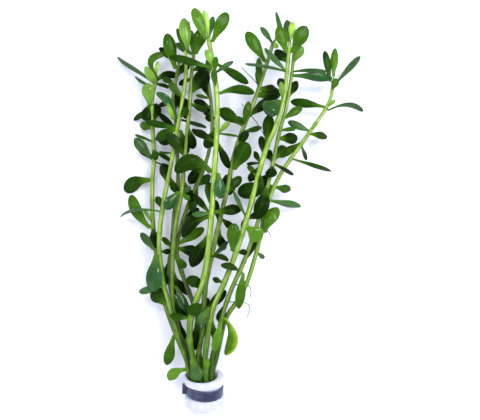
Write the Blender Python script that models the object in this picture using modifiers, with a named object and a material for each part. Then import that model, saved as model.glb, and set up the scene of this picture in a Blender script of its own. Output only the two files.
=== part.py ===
"""Ten cut bacopa stems in a bunch that lies on a surface, held by a foam sleeve and a soft metal strip.

Metres, +Z up, +Y from the sleeve towards the growing tips, +X to the right as the bunch is looked down on.
The origin is on the surface, under the sleeve. Lengths in the tables are millimetres, and MM
turns them to metres.
"""

import math
from typing import NamedTuple

import bmesh
import bpy
from mathutils import Matrix, Vector
from mathutils.bvhtree import BVHTree

MM = 0.001
COLLECTION = "bacopa_bunch"
GROWN_ON = "grown_on_parts"

# The places in the tables are as an eye sees them that looks straight down on the bunch
EYE_ACROSS = 21.6
EYE_ALONG = 111.0
EYE_LEVEL = 520.0
MEAN_LEVEL = 22.0

# Sleeve of foam round the cut ends
SLEEVE_MOUTH_AT = 11.0
SLEEVE_END_AT = -8.8
SLEEVE_RADIUS = 12.3
SLEEVE_WAIST = 10.3
SLEEVE_PITCH = math.radians(16)
SLEEVE_AXIS_LEVEL = 12.2
MOUTH_RADIUS = 9.4
MOUTH_SHIFT = -1.9
BORE_RADIUS = 8.5
BORE_SHIFT = -0.4
BORE_TAPER_END = 4.0
SLEEVE_SIDES = 14
SLEEVE_ROUNDING = 1.2
SLEEVE_SHOULDER = 0.9
STRIP_SIDE_GAP = 0.7
PAST_THE_END = 2.0
CUTTER_WIDTH = 60.0
CUTTER_DEPTH = 20.0

# Strip of soft metal, wound once round the sleeve and pinched into a tab
STRIP_WIDTH = 6.6
STRIP_THICKNESS = 0.8
STRIP_RADIUS = 11.1
STRIP_YAW = math.radians(3)
STRIP_AT = 2.2
STRIP_STEPS = 16
TAB_REACH = 2.6
TAB_SPLIT = 1.1
TAB_ANGLE = math.radians(172)

# Stems
STEM_RADIUS = 1.5
STEM_TIP_RADIUS = 1.0
STEM_FULL_AT = 0.3
STEM_END_AT = -7.2
WELD_DISTANCE = 0.01
STEM_SETTLED_AT = 2.0
BORE_SQUEEZE = 0.87

# Leaves
LEAF_THICKNESS = 1.2
LEAF_STALK = 0.3
LEAF_WIDEST_AT = 0.62
LEAF_TIP_FALL = 0.95
LEAF_ARCH = 0.09
LEAF_CUP = 0.16
LEAF_SINK = 0.7
STAND_OFFS = (1.0, 1.4, 1.9)
CLEARANCE = 0.35
FLOOR_LEVEL = 0.85
BROAD_LEAF = 9.1
BROAD_ROWS = (0.0, 0.4, 0.78, 1.0)
NARROW_ROWS = (0.0, 0.62, 1.0)
LEAF_COLUMNS = 2
SETTLE_STEP = 1.0
SETTLE_STEPS = 16
ARCH_CHANGES = (0.0, 0.12, -0.12)
ROLL_SWAY = math.radians(16)
SWAY_RATE = 2.4

GREEN_STEM = (0.22, 0.42, 0.06, 1.0)
GREEN_LEAF = (0.05, 0.14, 0.02, 1.0)
WHITE_FOAM = (0.80, 0.81, 0.88, 1.0)
SLATE_METAL = (0.09, 0.095, 0.17, 1.0)
STEM_ROUGHNESS = 0.4
LEAF_ROUGHNESS = 0.35
FOAM_ROUGHNESS = 0.95
STRIP_ROUGHNESS = 0.45
STRIP_METALLIC = 0.7


class Leaf(NamedTuple):
    """One leaf, its places as the eye sees them. lift is how far its tip stands above the stem, roll turns
    the blade about its length in degrees, bend bows it to the left as a share of its length, and apart makes
    it a piece of its own."""

    base: float
    across: float
    along: float
    width: float
    lift: float = 0.0
    roll: float = 0.0
    bend: float = 0.0
    apart: bool = False


class Stem(NamedTuple):
    """One stem: its place in the bore, its girth past the sleeve as a share of the usual one, its route from
    the mouth to the tip as (across, along, level), and its leaves."""

    slot: tuple
    girth: float
    route: tuple
    leaves: tuple


STEMS = (
    Stem(
        slot=(-6.9, -2.0),
        girth=1.1,
        route=(
            (-10.4, 21, 12.6),
            (-15.0, 32, 11.8),
            (-22.2, 51, 11.5),
            (-26.2, 69, 10.5),
            (-28.8, 87, 9.5),
            (-30.8, 105, 8.5),
            (-31.0, 129, 7.5),
            (-30.0, 142, 7.0),
            (-31.2, 174, 7.5),
            (-28.8, 191, 9.0),
        ),
        leaves=(
            Leaf(188, -51.6, 203, 6.0, lift=-7, roll=50, apart=True),
            Leaf(190, -21.0, 205, 4.6, lift=4, bend=0.5, apart=True),
            Leaf(191, -27.6, 200, 2.8, lift=3),
            Leaf(184, -41.4, 191, 4.4, lift=1, roll=72),
            Leaf(187, -21.6, 184, 5.0, lift=-3, roll=78),
            Leaf(188, -15.6, 191, 4.8, lift=-3, bend=0.2),
            Leaf(174, -34.2, 187, 8.4, lift=4, apart=True),
            Leaf(172, -42.0, 165, 3.6, lift=-6),
            Leaf(164, -28.8, 175, 8.0, lift=-5),
            Leaf(160, -38.4, 162, 5.4, lift=-5),
            Leaf(143, -41.4, 154, 6.6, lift=5, apart=True),
            Leaf(152, -40.8, 157, 5.0, lift=-4, roll=78),
            Leaf(141, -39.0, 148, 5.0, lift=-5, roll=60),
            Leaf(147, -28.8, 141, 4.8, lift=3),
            Leaf(146, -20.4, 140, 5.0, lift=-3, roll=76),
            Leaf(140, -20.4, 136, 5.0, lift=-5, roll=74),
            Leaf(129, -46.5, 121.5, 9.2, lift=-6.5, bend=-0.15, apart=True),
            Leaf(101, -44.0, 120, 7.6, lift=2, bend=0.08, apart=True),
            Leaf(104, -35.4, 112, 4.0, lift=2, roll=45),
            Leaf(87, -30.6, 99, 4.8, lift=-5),
            Leaf(175, -34.8, 164.4, 9.0, lift=7),
            Leaf(100, -30.6, 87, 5.4, lift=6),
            Leaf(187, -35.4, 197, 5.4, lift=3),
        ),
    ),
    Stem(
        slot=(-4.0, -5.8),
        girth=1.0,
        route=(
            (-8.0, 22, 9.3),
            (-13.8, 39, 10.0),
            (-18.6, 57, 11.0),
            (-21.0, 74, 11.5),
            (-19.2, 90, 10.4),
            (-18.0, 107, 10.2),
            (-15.6, 125, 10.5),
            (-16.2, 147, 10.5),
            (-16.8, 164, 11.0),
            (-18.6, 176, 11.5),
            (-18.0, 182, 11.7),
            (-14.4, 202, 12.5),
        ),
        leaves=(
            Leaf(196, -22.2, 217, 7.8, lift=5, apart=True),
            Leaf(200, -27.0, 208, 4.8, lift=-3),
            Leaf(186, -24.6, 191, 4.6, lift=-1, roll=20),
            Leaf(192, -9.0, 199, 5.4, lift=-6),
            Leaf(166, -28.8, 181, 5.2, lift=3, bend=-0.2, apart=True),
            Leaf(176, -27.6, 174, 3.8, lift=-5),
            Leaf(160, -27.0, 169, 4.0, lift=-8, roll=35),
            Leaf(164, -21.6, 175, 4.0, lift=3, roll=40),
            Leaf(166, 1.2, 160, 5.0, lift=-6, roll=65),
            Leaf(186, -10.5, 166, 5.6, lift=-6),
            Leaf(72, -9.0, 60, 6.0, lift=-3),
            Leaf(82, -22.5, 70, 5.0, lift=-5),
            Leaf(152, -27.5, 153, 6.0, lift=-3),
            Leaf(170, -16.5, 181, 4.6, lift=-3),
        ),
    ),
    Stem(
        slot=(-6.9, 2.2),
        girth=1.08,
        route=(
            (-10.2, 20, 18.3),
            (-16.2, 36, 18.8),
            (-21.6, 57, 19.0),
            (-24.6, 68, 18.6),
            (-27.0, 88, 17.8),
            (-26.4, 100, 17.4),
            (-24.6, 114, 17.0),
            (-21.0, 132, 17.0),
            (-18.3, 147, 17.0),
            (-13.2, 176, 18.0),
            (-10.8, 193, 19.5),
            (-11.4, 208, 21.0),
        ),
        leaves=(
            Leaf(207, -12.0, 226, 7.2, lift=2, apart=True),
            Leaf(207, -16.2, 220, 3.2, lift=3),
            Leaf(207, -8.4, 224, 4.4, lift=-3, roll=35),
            Leaf(179, -21.0, 187, 4.4, lift=2),
            Leaf(167, -9.6, 172, 5.0, lift=3),
            Leaf(160, -34.8, 164, 4.6, lift=-5),
            Leaf(159, -10.8, 144, 7.2, lift=-2, apart=True),
            Leaf(160, -29.0, 153.5, 6.4, lift=-4),
            Leaf(145, -26.4, 146, 5.0, lift=-3, roll=76),
            Leaf(128, -25.2, 139, 6.6, lift=-6),
            Leaf(131, -16.4, 121, 5.0, lift=-5),
            Leaf(110, -50.4, 107, 3.0, lift=-12, roll=55, bend=-0.1),
            Leaf(112, -28.2, 119, 4.4, lift=-4),
            Leaf(84, -30.6, 62, 10.4, lift=3, apart=True),
            Leaf(87, -37.8, 97, 5.0, lift=-4, apart=True),
            Leaf(86, -19.8, 86, 3.4, lift=-3),
            Leaf(80, -22.3, 66, 4.4, lift=-6),
            Leaf(55, -31.5, 63, 9.6, lift=-4, apart=True),
            Leaf(66, -39.0, 62, 4.4, lift=-12),
            Leaf(36, -22.0, 18, 6.6, lift=-8, apart=True),
            Leaf(15.5, -21.0, 8.4, 6.6, lift=-4, bend=-0.16, apart=True),
        ),
    ),
    Stem(
        slot=(-3.5, 0.1),
        girth=1.04,
        route=(
            (-8.0, 22, 15.4),
            (-15.0, 38, 15.0),
            (-18.6, 57, 16.0),
            (-19.2, 73, 17.0),
            (-18.6, 87, 17.8),
            (-16.2, 107, 18.3),
            (-13.2, 123, 18.5),
            (-12.0, 138, 18.5),
            (-10.2, 156, 18.0),
            (-8.4, 177, 17.0),
            (-7.2, 195, 15.5),
            (-6.0, 206, 15.0),
        ),
        leaves=(
            Leaf(205, -0.6, 220, 7.8, lift=4, apart=True),
            Leaf(204, -16.8, 211, 5.0, lift=2, roll=45),
            Leaf(204, -7.2, 219, 4.2, lift=-1),
            Leaf(195, 1.2, 197, 5.0, lift=-4),
            Leaf(175, 1.8, 169, 5.0, lift=-4, roll=55),
            Leaf(160, -6.5, 148, 6.4, lift=-5),
            Leaf(121, -23.0, 111.5, 7.2, lift=4, apart=True),
            Leaf(121, -8.0, 125, 3.2, lift=2),
            Leaf(121, -8.5, 117, 3.2, lift=2),
            Leaf(88, -24.6, 95, 4.0, lift=-4, roll=50),
            Leaf(84, -10.8, 76, 5.0, lift=-2),
            Leaf(75, -14.4, 58, 5.2, lift=-6),
            Leaf(59, -12.4, 46, 5.2, lift=-6),
            Leaf(44, -11.4, 34, 4.0, lift=-4),
            Leaf(65, -9.6, 50, 5.6, lift=3, apart=True),
            Leaf(182, 2.5, 194, 10.0, lift=-3),
            Leaf(144, -21.6, 157, 6.6, lift=3),
            Leaf(168, -12.0, 178, 4.4, lift=-5),
            Leaf(128, -6.6, 116, 5.4, lift=-4),
            Leaf(190, -15.0, 186, 3.6, lift=-3),
        ),
    ),
    Stem(
        slot=(-4.6, 5.5),
        girth=1.32,
        route=(
            (-6.6, 22, 22.6),
            (-8.6, 33, 23.5),
            (-7.8, 47, 26.0),
            (-4.2, 58, 27.5),
            (-0.6, 68, 28.5),
            (1.8, 82, 29.8),
            (4.2, 105, 31.0),
            (6.6, 138, 31.5),
            (7.8, 162, 30.5),
            (7.8, 177, 29.5),
            (6.0, 196, 28.0),
            (2.4, 215, 26.5),
        ),
        leaves=(
            Leaf(214, -6.0, 232, 7.2, lift=3, apart=True),
            Leaf(214, 0.0, 231, 4.2, lift=0),
            Leaf(212, 14.2, 229.5, 7.6, lift=2, apart=True),
            Leaf(214, 5.4, 227, 3.8, lift=-3),
            Leaf(197, 1.2, 207, 3.8, lift=3),
            Leaf(197, -20.4, 203, 5.2, lift=2, apart=True),
            Leaf(198, 26.4, 187, 5.4, lift=0, roll=35, apart=True),
            Leaf(194, 7.2, 203, 3.4, lift=3),
            Leaf(193, 17.4, 200, 3.0, lift=-2),
            Leaf(185, 5.4, 195, 3.8, lift=4),
            Leaf(181, 30.0, 181, 5.6, lift=-2, bend=0.1, apart=True),
            Leaf(157, 15.6, 164, 3.6, lift=0, roll=40),
            Leaf(157, 20.4, 155, 3.0, lift=-2, roll=74),
            Leaf(152, 15.0, 136, 5.0, lift=-7),
            Leaf(160, 1.8, 147.5, 7.4, lift=-6),
            Leaf(152, -7.0, 160, 5.6, lift=-2, roll=20),
            Leaf(134, -16.8, 133.5, 9.6, lift=-2, bend=-0.3, apart=True),
            Leaf(133, 10.2, 118, 6.8, lift=3, apart=True),
            Leaf(113, 3.0, 128, 5.6, lift=-4),
            Leaf(109, -6.0, 120, 4.4, lift=-5, roll=40),
            Leaf(109, -7.2, 109, 4.4, lift=1, roll=35),
            Leaf(107, -12.6, 95, 7.4, lift=-7, bend=-0.15),
            Leaf(110, 22.2, 112, 6.4, lift=-4, apart=True),
            Leaf(83, 14.4, 80, 4.2, lift=-1, roll=25, bend=0.15),
            Leaf(95, -8.0, 77, 8.4, lift=-7),
            Leaf(46, -20.4, 48, 4.4, lift=-2, roll=30),
            Leaf(20, -3.6, 8.8, 8.0, lift=6, apart=True),
        ),
    ),
    Stem(
        slot=(-0.7, 6.3),
        girth=1.08,
        route=(
            (-3.6, 21, 20.6),
            (-1.8, 33, 20.4),
            (0.0, 41, 20.8),
            (0.0, 54, 21.8),
            (1.2, 67, 22.3),
            (4.8, 84, 22.5),
            (11.4, 113, 21.5),
            (14.4, 125, 21.0),
            (16.8, 139, 20.5),
            (21.6, 155, 20.0),
            (30.0, 176, 19.0),
            (37.8, 199, 17.6),
            (42.0, 213, 17.0),
        ),
        leaves=(
            Leaf(200, 25.6, 218, 7.8, lift=4, apart=True),
            Leaf(211, 34.2, 221, 4.0, lift=0, roll=40),
            Leaf(212, 46.0, 217, 3.2, lift=2),
            Leaf(212, 44.0, 208, 3.0, lift=1),
            Leaf(186, 33.0, 202, 4.6, lift=1, roll=35),
            Leaf(185, 31.8, 194, 4.0, lift=-2, roll=40),
            Leaf(184, 45.6, 182, 8.0, lift=-6),
            Leaf(180, 46.5, 181, 8.6, lift=-6),
            Leaf(162, 27.0, 176, 4.8, lift=-2),
            Leaf(162, 9.0, 171, 7.8, lift=-3, apart=True),
            Leaf(163, 19.8, 167, 2.8, lift=-1),
            Leaf(158, 34.8, 160, 4.0, lift=-3, roll=50),
            Leaf(136, 26.0, 151.5, 10.2, lift=5, apart=True),
            Leaf(155, 27.0, 157, 3.8, lift=-2),
            Leaf(123, 13.2, 132, 5.4, lift=-6),
            Leaf(122, 22.2, 131, 5.6, lift=-2),
            Leaf(106, 17.4, 100, 4.4, lift=-5),
            Leaf(83, 14.4, 92, 4.0, lift=-3, roll=50),
            Leaf(91, 9.6, 100, 3.8, lift=-5),
            Leaf(104, 6.4, 117, 4.4, lift=-5),
            Leaf(98, 12.0, 87, 5.4, lift=-6),
            Leaf(62, -10.8, 68.4, 7.2, lift=2, bend=-0.25, apart=True),
            Leaf(14.5, -1.8, 23, 4.0, lift=3),
            Leaf(150, 25.8, 158, 5.4, lift=1),
            Leaf(132, 15.6, 120, 6.4, lift=-4),
            Leaf(50, 13.0, 63, 6.0, lift=-5),
            Leaf(168, 40.8, 177.6, 6.4, lift=-5),
            Leaf(51, -10.2, 51.5, 8.6, lift=8),
        ),
    ),
    Stem(
        slot=(3.0, 6.5),
        girth=1.2,
        route=(
            (0.6, 20, 22.0),
            (2.0, 34, 23.3),
            (5.4, 52, 25.2),
            (12.0, 67, 26.0),
            (20.4, 89, 27.0),
            (28.2, 115, 28.0),
            (34.2, 138, 28.0),
            (39.0, 152, 27.5),
            (42.6, 160, 27.0),
            (47.4, 176, 26.0),
            (49.2, 188, 25.4),
            (51.6, 213, 24.0),
        ),
        leaves=(
            Leaf(206, 45.0, 221, 7.8, lift=2, apart=True),
            Leaf(212, 53.4, 224, 4.2, lift=2),
            Leaf(206, 61.2, 221, 9.0, lift=2, apart=True),
            Leaf(212, 49.8, 225, 5.4, lift=-3),
            Leaf(194, 36.6, 208, 4.4, lift=0, roll=38),
            Leaf(194, 25.2, 199, 5.0, lift=-4, roll=45),
            Leaf(203, 43.2, 230, 3.2, lift=-9),
            Leaf(200, 43.2, 207, 6.6, lift=-8),
            Leaf(177, 46.2, 188, 3.4, lift=3),
            Leaf(182, 45.0, 190, 5.0, lift=-7),
            Leaf(176, 36.4, 169, 11.4, lift=3, apart=True),
            Leaf(144, 34.2, 155, 4.4, lift=-6),
            Leaf(150, 39.0, 168, 7.0, lift=-7),
            Leaf(96, 25.6, 106, 4.4, lift=-7),
            Leaf(139, 30.0, 146, 3.4, lift=-3),
            Leaf(131, 26.4, 138, 3.4, lift=-6),
            Leaf(139, 25.8, 139, 4.0, lift=-3, roll=62),
            Leaf(133, 34.8, 124, 3.4, lift=3),
            Leaf(107, 18.0, 123, 4.0, lift=-2, roll=40),
            Leaf(106, 37.2, 110, 5.4, lift=-12),
            Leaf(86, 18.0, 103, 7.8, lift=5, apart=True),
            Leaf(101, 34.2, 93.6, 10.4, lift=2, apart=True),
            Leaf(86, 25.8, 86, 3.6, lift=-1),
            Leaf(67, 5.4, 70, 3.4, lift=-3),
            Leaf(45, 6.4, 33, 3.6, lift=-4),
            Leaf(52, -2.4, 42, 6.6, lift=2, apart=True),
            Leaf(14.5, 2.0, 22, 4.0, lift=3),
            Leaf(137, 27.0, 128, 5.0, lift=-5),
        ),
    ),
    Stem(
        slot=(6.0, 3.9),
        girth=1.0,
        route=(
            (4.8, 22, 19.6),
            (7.8, 33, 20.6),
            (11.4, 49, 22.5),
            (16.8, 64, 24.0),
            (22.2, 76, 24.5),
            (27.0, 88, 24.6),
            (34.8, 112, 24.0),
            (40.2, 134, 23.5),
            (45.6, 159, 22.4),
            (49.2, 172, 21.2),
            (53.0, 195, 19.0),
            (54.0, 207, 18.0),
        ),
        leaves=(
            Leaf(200, 59.4, 209, 5.6, lift=2),
            Leaf(192, 76.8, 190, 5.6, lift=-4, roll=30, apart=True),
            Leaf(194, 74.4, 193.6, 3.2, lift=4, roll=40),
            Leaf(179, 55.8, 188, 5.0, lift=-5),
            Leaf(166, 58.8, 173, 5.0, lift=-2),
            Leaf(137, 39.6, 131, 7.0, lift=6),
            Leaf(154, 55.8, 154, 7.2, lift=-5),
            Leaf(142, 49.8, 149, 7.0, lift=-6),
            Leaf(159, 54.6, 159, 4.0, lift=-3, roll=50),
            Leaf(140, 37.0, 147, 5.2, lift=-7),
            Leaf(133, 34.0, 126, 6.0, lift=-7),
            Leaf(56, 8.6, 44, 5.2, lift=-6),
            Leaf(139, 53.4, 132, 4.0, lift=-4, roll=60),
            Leaf(74, 10.2, 78, 4.6, lift=5, roll=25, bend=-0.12),
            Leaf(74, 21.0, 52, 6.2, lift=-1, apart=True),
            Leaf(46, 12.6, 24, 6.8, lift=0, bend=0.2, apart=True),
            Leaf(45, 6.0, 26, 5.4, lift=4, apart=True),
            Leaf(80, 31.2, 93, 3.6, lift=-4),
            Leaf(124, 31.8, 105.6, 9.0, lift=6),
        ),
    ),
    Stem(
        slot=(6.6, -2.0),
        girth=1.0,
        route=(
            (7.2, 21, 15.2),
            (9.6, 32, 16.8),
            (13.2, 46, 18.4),
            (21.0, 58, 20.0),
            (26.4, 69, 20.2),
            (33.6, 94, 19.2),
            (36.0, 108, 18.6),
            (39.6, 119, 18.0),
            (46.2, 133, 17.0),
            (63.0, 157, 14.5),
            (73.2, 172, 13.0),
            (76.2, 179, 13.0),
            (78.0, 191, 14.0),
        ),
        leaves=(
            Leaf(188, 72.5, 206.5, 4.6, lift=1, apart=True),
            Leaf(191, 78.4, 208, 4.8, lift=3),
            Leaf(187, 93.6, 203, 4.2, lift=-12, roll=10, apart=True),
            Leaf(183.5, 79.6, 190, 4.4, lift=3),
            Leaf(172, 52.2, 176, 5.6, lift=-4, apart=True),
            Leaf(172, 95.4, 170, 4.2, lift=-11, roll=40, bend=0.14, apart=True),
            Leaf(173, 78.6, 177, 2.4, lift=2),
            Leaf(158, 50.4, 164, 4.6, lift=2),
            Leaf(159, 67.8, 164, 2.8, lift=2),
            Leaf(157, 73.8, 155, 5.0, lift=-8),
            Leaf(150, 61.2, 141, 3.2, lift=-5, roll=35),
            Leaf(151, 45.0, 143, 5.0, lift=3),
            Leaf(142, 76.2, 134, 3.4, lift=-14, roll=40),
            Leaf(125, 51.6, 123, 5.4, lift=-8),
            Leaf(124, 20.0, 121, 10.4, lift=-4, apart=True),
            Leaf(126, 31.2, 112, 7.0, lift=-9),
            Leaf(117, 57.6, 113, 5.0, lift=-15, roll=25),
            Leaf(98, 45.0, 112, 8.6, lift=2, bend=0.12, apart=True),
            Leaf(86, 36.0, 82, 3.0, lift=-3),
        ),
    ),
    Stem(
        slot=(1.2, -2.2),
        girth=1.0,
        route=(
            (-2.4, 22, 13.6),
            (-3.0, 39, 14.0),
            (-4.8, 50, 14.5),
            (-12.8, 72, 14.3),
            (-16.4, 86, 13.9),
            (-14.2, 99, 13.6),
            (-8.6, 116, 13.5),
            (0.6, 138, 13.0),
            (4.6, 156, 12.5),
            (4.4, 174, 12.0),
            (1.8, 192, 11.0),
        ),
        leaves=(
            Leaf(178, -1.0, 189, 5.0, lift=-6),
            Leaf(166, 0.0, 173, 5.4, lift=-6),
            Leaf(178, -4.8, 180, 4.0, lift=4, roll=40),
            Leaf(91, 0.0, 100, 6.0, lift=4),
            Leaf(133, -8.0, 139, 6.0, lift=2),
            Leaf(126, 4.0, 131, 6.0, lift=-8),
            Leaf(190, 3.0, 203, 4.6, lift=1),
            Leaf(138, -9.4, 127, 7.0, lift=-2),
            Leaf(172, -6.0, 177, 4.8, lift=-3),
            Leaf(88, -3.0, 86, 7.0, lift=-2),
            Leaf(45, 3.0, 58, 6.0, lift=-3),
            Leaf(44, -5.5, 27, 5.0, lift=0),
            Leaf(104, -3.0, 112, 5.6, lift=-3),
            Leaf(50, -12.0, 48, 7.0, lift=-1, apart=True),
            Leaf(50, 3.0, 49, 7.0, lift=-1),
            Leaf(170, 3.0, 164, 6.0, lift=0),
            Leaf(126, -7.8, 110, 5.6, lift=4),
        ),
    ),
)


def clear_scene():
    """Removes what the file held before."""
    for other in list(bpy.data.objects):
        bpy.data.objects.remove(other, do_unlink=True)


def new_collection(name, parent):
    """A collection of this name under the parent."""
    group = bpy.data.collections.new(name)
    parent.children.link(group)
    return group


def new_material(name, colour, roughness, metallic=0.0):
    """A material with one colour and finish."""
    material = bpy.data.materials.new(name)
    material.use_nodes = True
    shader = material.node_tree.nodes["Principled BSDF"]
    shader.inputs["Base Color"].default_value = colour
    shader.inputs["Roughness"].default_value = roughness
    shader.inputs["Metallic"].default_value = metallic
    return material


def new_object(name, mesh, material, group):
    """An object for this mesh, in this material and collection."""
    thing = bpy.data.objects.new(name, mesh)
    thing.data.materials.append(material)
    group.objects.link(thing)
    return thing


def as_guide(thing):
    """Marks an object that only shapes another one."""
    thing.hide_render = True
    thing.display_type = "WIRE"


def seen(across, along, level):
    """The point at this level that the eye sees at this place."""
    spread = (EYE_LEVEL - level) / (EYE_LEVEL - MEAN_LEVEL)
    x = EYE_ACROSS + (across - EYE_ACROSS) * spread
    y = EYE_ALONG + (along - EYE_ALONG) * spread
    return Vector((x, y, level)) * MM


def sleeve_frame():
    """Turns a point of the sleeve's own frame, with its axis along Z, to the bunch's frame."""
    stand = Matrix.Translation((0.0, 0.0, SLEEVE_AXIS_LEVEL * MM))
    return stand @ Matrix.Rotation(SLEEVE_PITCH, 4, "X") @ Matrix.Rotation(-math.pi / 2, 4, "X")


def in_sleeve(across, up, at):
    """A point of the sleeve, across and above its axis, at a distance along it from over the origin."""
    return sleeve_frame() @ (Vector((across, -up, at)) * MM)


def stem_points(stem):
    """The stem's route from its cut end to its tip, with the levels turned to real places."""
    across, up = stem.slot
    squeezed = (BORE_SHIFT + across * BORE_SQUEEZE, up * BORE_SQUEEZE)
    points = [
        in_sleeve(*squeezed, STEM_END_AT),
        in_sleeve(*squeezed, STEM_SETTLED_AT),
        in_sleeve(MOUTH_SHIFT + across, up, SLEEVE_MOUTH_AT),
    ]
    return points + [seen(*place) for place in stem.route]


def seen_along(point):
    """How far along the bunch the eye sees a real point, in millimetres."""
    spread = (EYE_LEVEL - point.z / MM) / (EYE_LEVEL - MEAN_LEVEL)
    return EYE_ALONG + (point.y / MM - EYE_ALONG) / spread


def stem_at(points, girth, along):
    """The stem's middle, direction and radius where the eye sees it this far along the bunch."""
    last = len(points) - 2
    for index in range(last + 1):
        start, end = points[index], points[index + 1]
        low, high = seen_along(start), seen_along(end)
        if along <= high or index == last:
            share = (along - low) / (high - low)
            radius = stem_radius((index + share) / (last + 1), girth)
            return start.lerp(end, min(share, 1.0)), (end - start).normalized(), radius
    raise ValueError("the stem has no such place")


def stem_radius(share, girth):
    """The stem's radius at this share of its route: thin in the sleeve, full past it, thinner at the tip."""
    full = 1 + (girth - 1) * min(share / STEM_FULL_AT, 1.0)
    return (STEM_RADIUS + (STEM_TIP_RADIUS - STEM_RADIUS) * share**2) * full * MM


def make_stem(name, points, girth, material, group):
    """A stem as a round tube of its route, turned to a mesh with closed ends."""
    curve = bpy.data.curves.new(name, "CURVE")
    curve.dimensions = "3D"
    curve.bevel_depth = STEM_RADIUS * MM
    curve.bevel_resolution = 1
    curve.use_fill_caps = True
    spline = curve.splines.new("POLY")
    spline.points.add(len(points) - 1)
    for index, (knot, point) in enumerate(zip(spline.points, points)):
        knot.co = (*point, 1.0)
        knot.radius = stem_radius(index / (len(points) - 1), girth) / (STEM_RADIUS * MM)
    tube = bpy.data.objects.new(name, curve)
    group.objects.link(tube)
    bpy.context.view_layer.update()
    mesh = bpy.data.meshes.new_from_object(tube.evaluated_get(bpy.context.evaluated_depsgraph_get()))
    bpy.data.objects.remove(tube, do_unlink=True)
    form = bmesh.new()
    form.from_mesh(mesh)
    bmesh.ops.remove_doubles(form, verts=form.verts, dist=WELD_DISTANCE * MM)
    form.to_mesh(mesh)
    form.free()
    mesh.materials.clear()
    mesh.name = name
    mesh.shade_smooth()
    return new_object(name, mesh, material, group)


def sheet_of(leaf, order, points, girth, stand_off, rise, arch_change, rows, columns):
    """The leaf's middle surface as rows of points from stalk to tip, held above the ground."""
    middle, grown, radius = stem_at(points, girth, leaf.base)
    level = middle.z / MM + leaf.lift + rise
    tip = seen(leaf.across, leaf.along, max(level, FLOOR_LEVEL))
    way = tip - middle
    out = way - grown * way.dot(grown)
    base = middle + out.normalized() * (radius + stand_off * MM)
    chord = tip - base
    ahead = chord.normalized()
    side = Vector((0.0, 0.0, 1.0)).cross(ahead).normalized()
    above = ahead.cross(side)
    bow = above * (LEAF_ARCH + arch_change) * chord.length + side * leaf.bend * chord.length
    roll = math.radians(leaf.roll) + ROLL_SWAY * math.sin(SWAY_RATE * order)
    sheet = []
    for share in rows:
        centre = base + chord * share + bow * 4 * share * (1 - share)
        run = (chord + bow * 4 * (1 - 2 * share)).normalized()
        left = above.cross(run).normalized()
        over = run.cross(left)
        edge = left * math.cos(roll) + over * math.sin(roll)
        face = run.cross(edge)
        half = leaf.width / 2 * MM * width_share(share)
        line = []
        for column in range(columns):
            reach = 2 * column / (columns - 1) - 1
            point = centre + edge * reach * half - face * LEAF_CUP * half * reach**2
            point.z = max(point.z, FLOOR_LEVEL * MM)
            line.append(point)
        sheet.append(line)
    return sheet


def width_share(share):
    """How wide the leaf is at this share of its length: a narrow stalk, a broad blade and a round tip."""
    if share < LEAF_WIDEST_AT:
        return LEAF_STALK + (1 - LEAF_STALK) * math.sin(math.pi / 2 * share / LEAF_WIDEST_AT) ** 2
    return math.sqrt(1 - ((share - LEAF_WIDEST_AT) / (1 - LEAF_WIDEST_AT) * LEAF_TIP_FALL) ** 2)


def room_of(sheet):
    """A search tree of the space that a leaf takes, with its clearance."""
    reach = (LEAF_THICKNESS / 2 + CLEARANCE) * MM
    rows, columns = len(sheet), len(sheet[0])
    upper, lower = [], []
    for row in range(rows):
        for column in range(columns):
            before = sheet[max(row - 1, 0)][column]
            after = sheet[min(row + 1, rows - 1)][column]
            left = sheet[row][max(column - 1, 0)]
            right = sheet[row][min(column + 1, columns - 1)]
            normal = (right - left).cross(after - before).normalized()
            grown = (after - before).normalized() * (CLEARANCE * MM if row == rows - 1 else 0.0)
            wider = (right - left).normalized() * CLEARANCE * MM * (2 * column / (columns - 1) - 1)
            spot = sheet[row][column] + grown + wider
            upper.append(spot + normal * reach)
            lower.append(spot - normal * reach)
    total = rows * columns
    faces = []
    for row in range(rows - 1):
        for column in range(columns - 1):
            corner = row * columns + column
            quad = (corner, corner + 1, corner + columns + 1, corner + columns)
            faces.append(quad)
            faces.append(tuple(total + spot for spot in quad))
    rim = [row * columns for row in range(rows)]
    rim += [(rows - 1) * columns + column for column in range(1, columns)]
    rim += [row * columns + columns - 1 for row in range(rows - 2, -1, -1)]
    rim += [column for column in range(columns - 2, 0, -1)]
    for start, end in zip(rim, rim[1:] + rim[:1]):
        faces.append((start, end, total + end, total + start))
    return BVHTree.FromPolygons(upper + lower, faces)


def settle(leaf, order, points, girth, rows, columns, stand_offs, others):
    """The leaf's sheet and room, its tip raised or lowered in small steps until it is clear of the others."""
    for step in range(2 * SETTLE_STEPS + 1):
        rise = SETTLE_STEP * ((step + 1) // 2) * (1 if step % 2 else -1)
        for arch_change in ARCH_CHANGES:
            for stand_off in stand_offs:
                sheet = sheet_of(leaf, order, points, girth, stand_off, rise, arch_change, rows, columns)
                room = room_of(sheet)
                if not any(room.overlap(other) for other in others):
                    return sheet, room
    raise RuntimeError("a leaf has no room")


def in_rows(verts):
    """The corners of a grid row by row, as a list."""
    return sorted(verts, key=lambda corner: (round(corner.co.y, 3), corner.co.x))


def make_leaf(name, sheet, material, group):
    """A leaf: a grid shaped to its sheet and given its thickness."""
    rows, columns = len(sheet), len(sheet[0])
    form = bmesh.new()
    bmesh.ops.create_grid(form, x_segments=columns - 1, y_segments=rows - 1, size=1.0)
    for index, vert in enumerate(in_rows(form.verts)):
        vert.co = sheet[index // columns][index % columns]
    mesh = bpy.data.meshes.new(name)
    form.to_mesh(mesh)
    form.free()
    leaf = new_object(name, mesh, material, group)
    shell = leaf.modifiers.new("thickness", "SOLIDIFY")
    shell.thickness = LEAF_THICKNESS * MM
    shell.offset = 0.0
    return leaf


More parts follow.
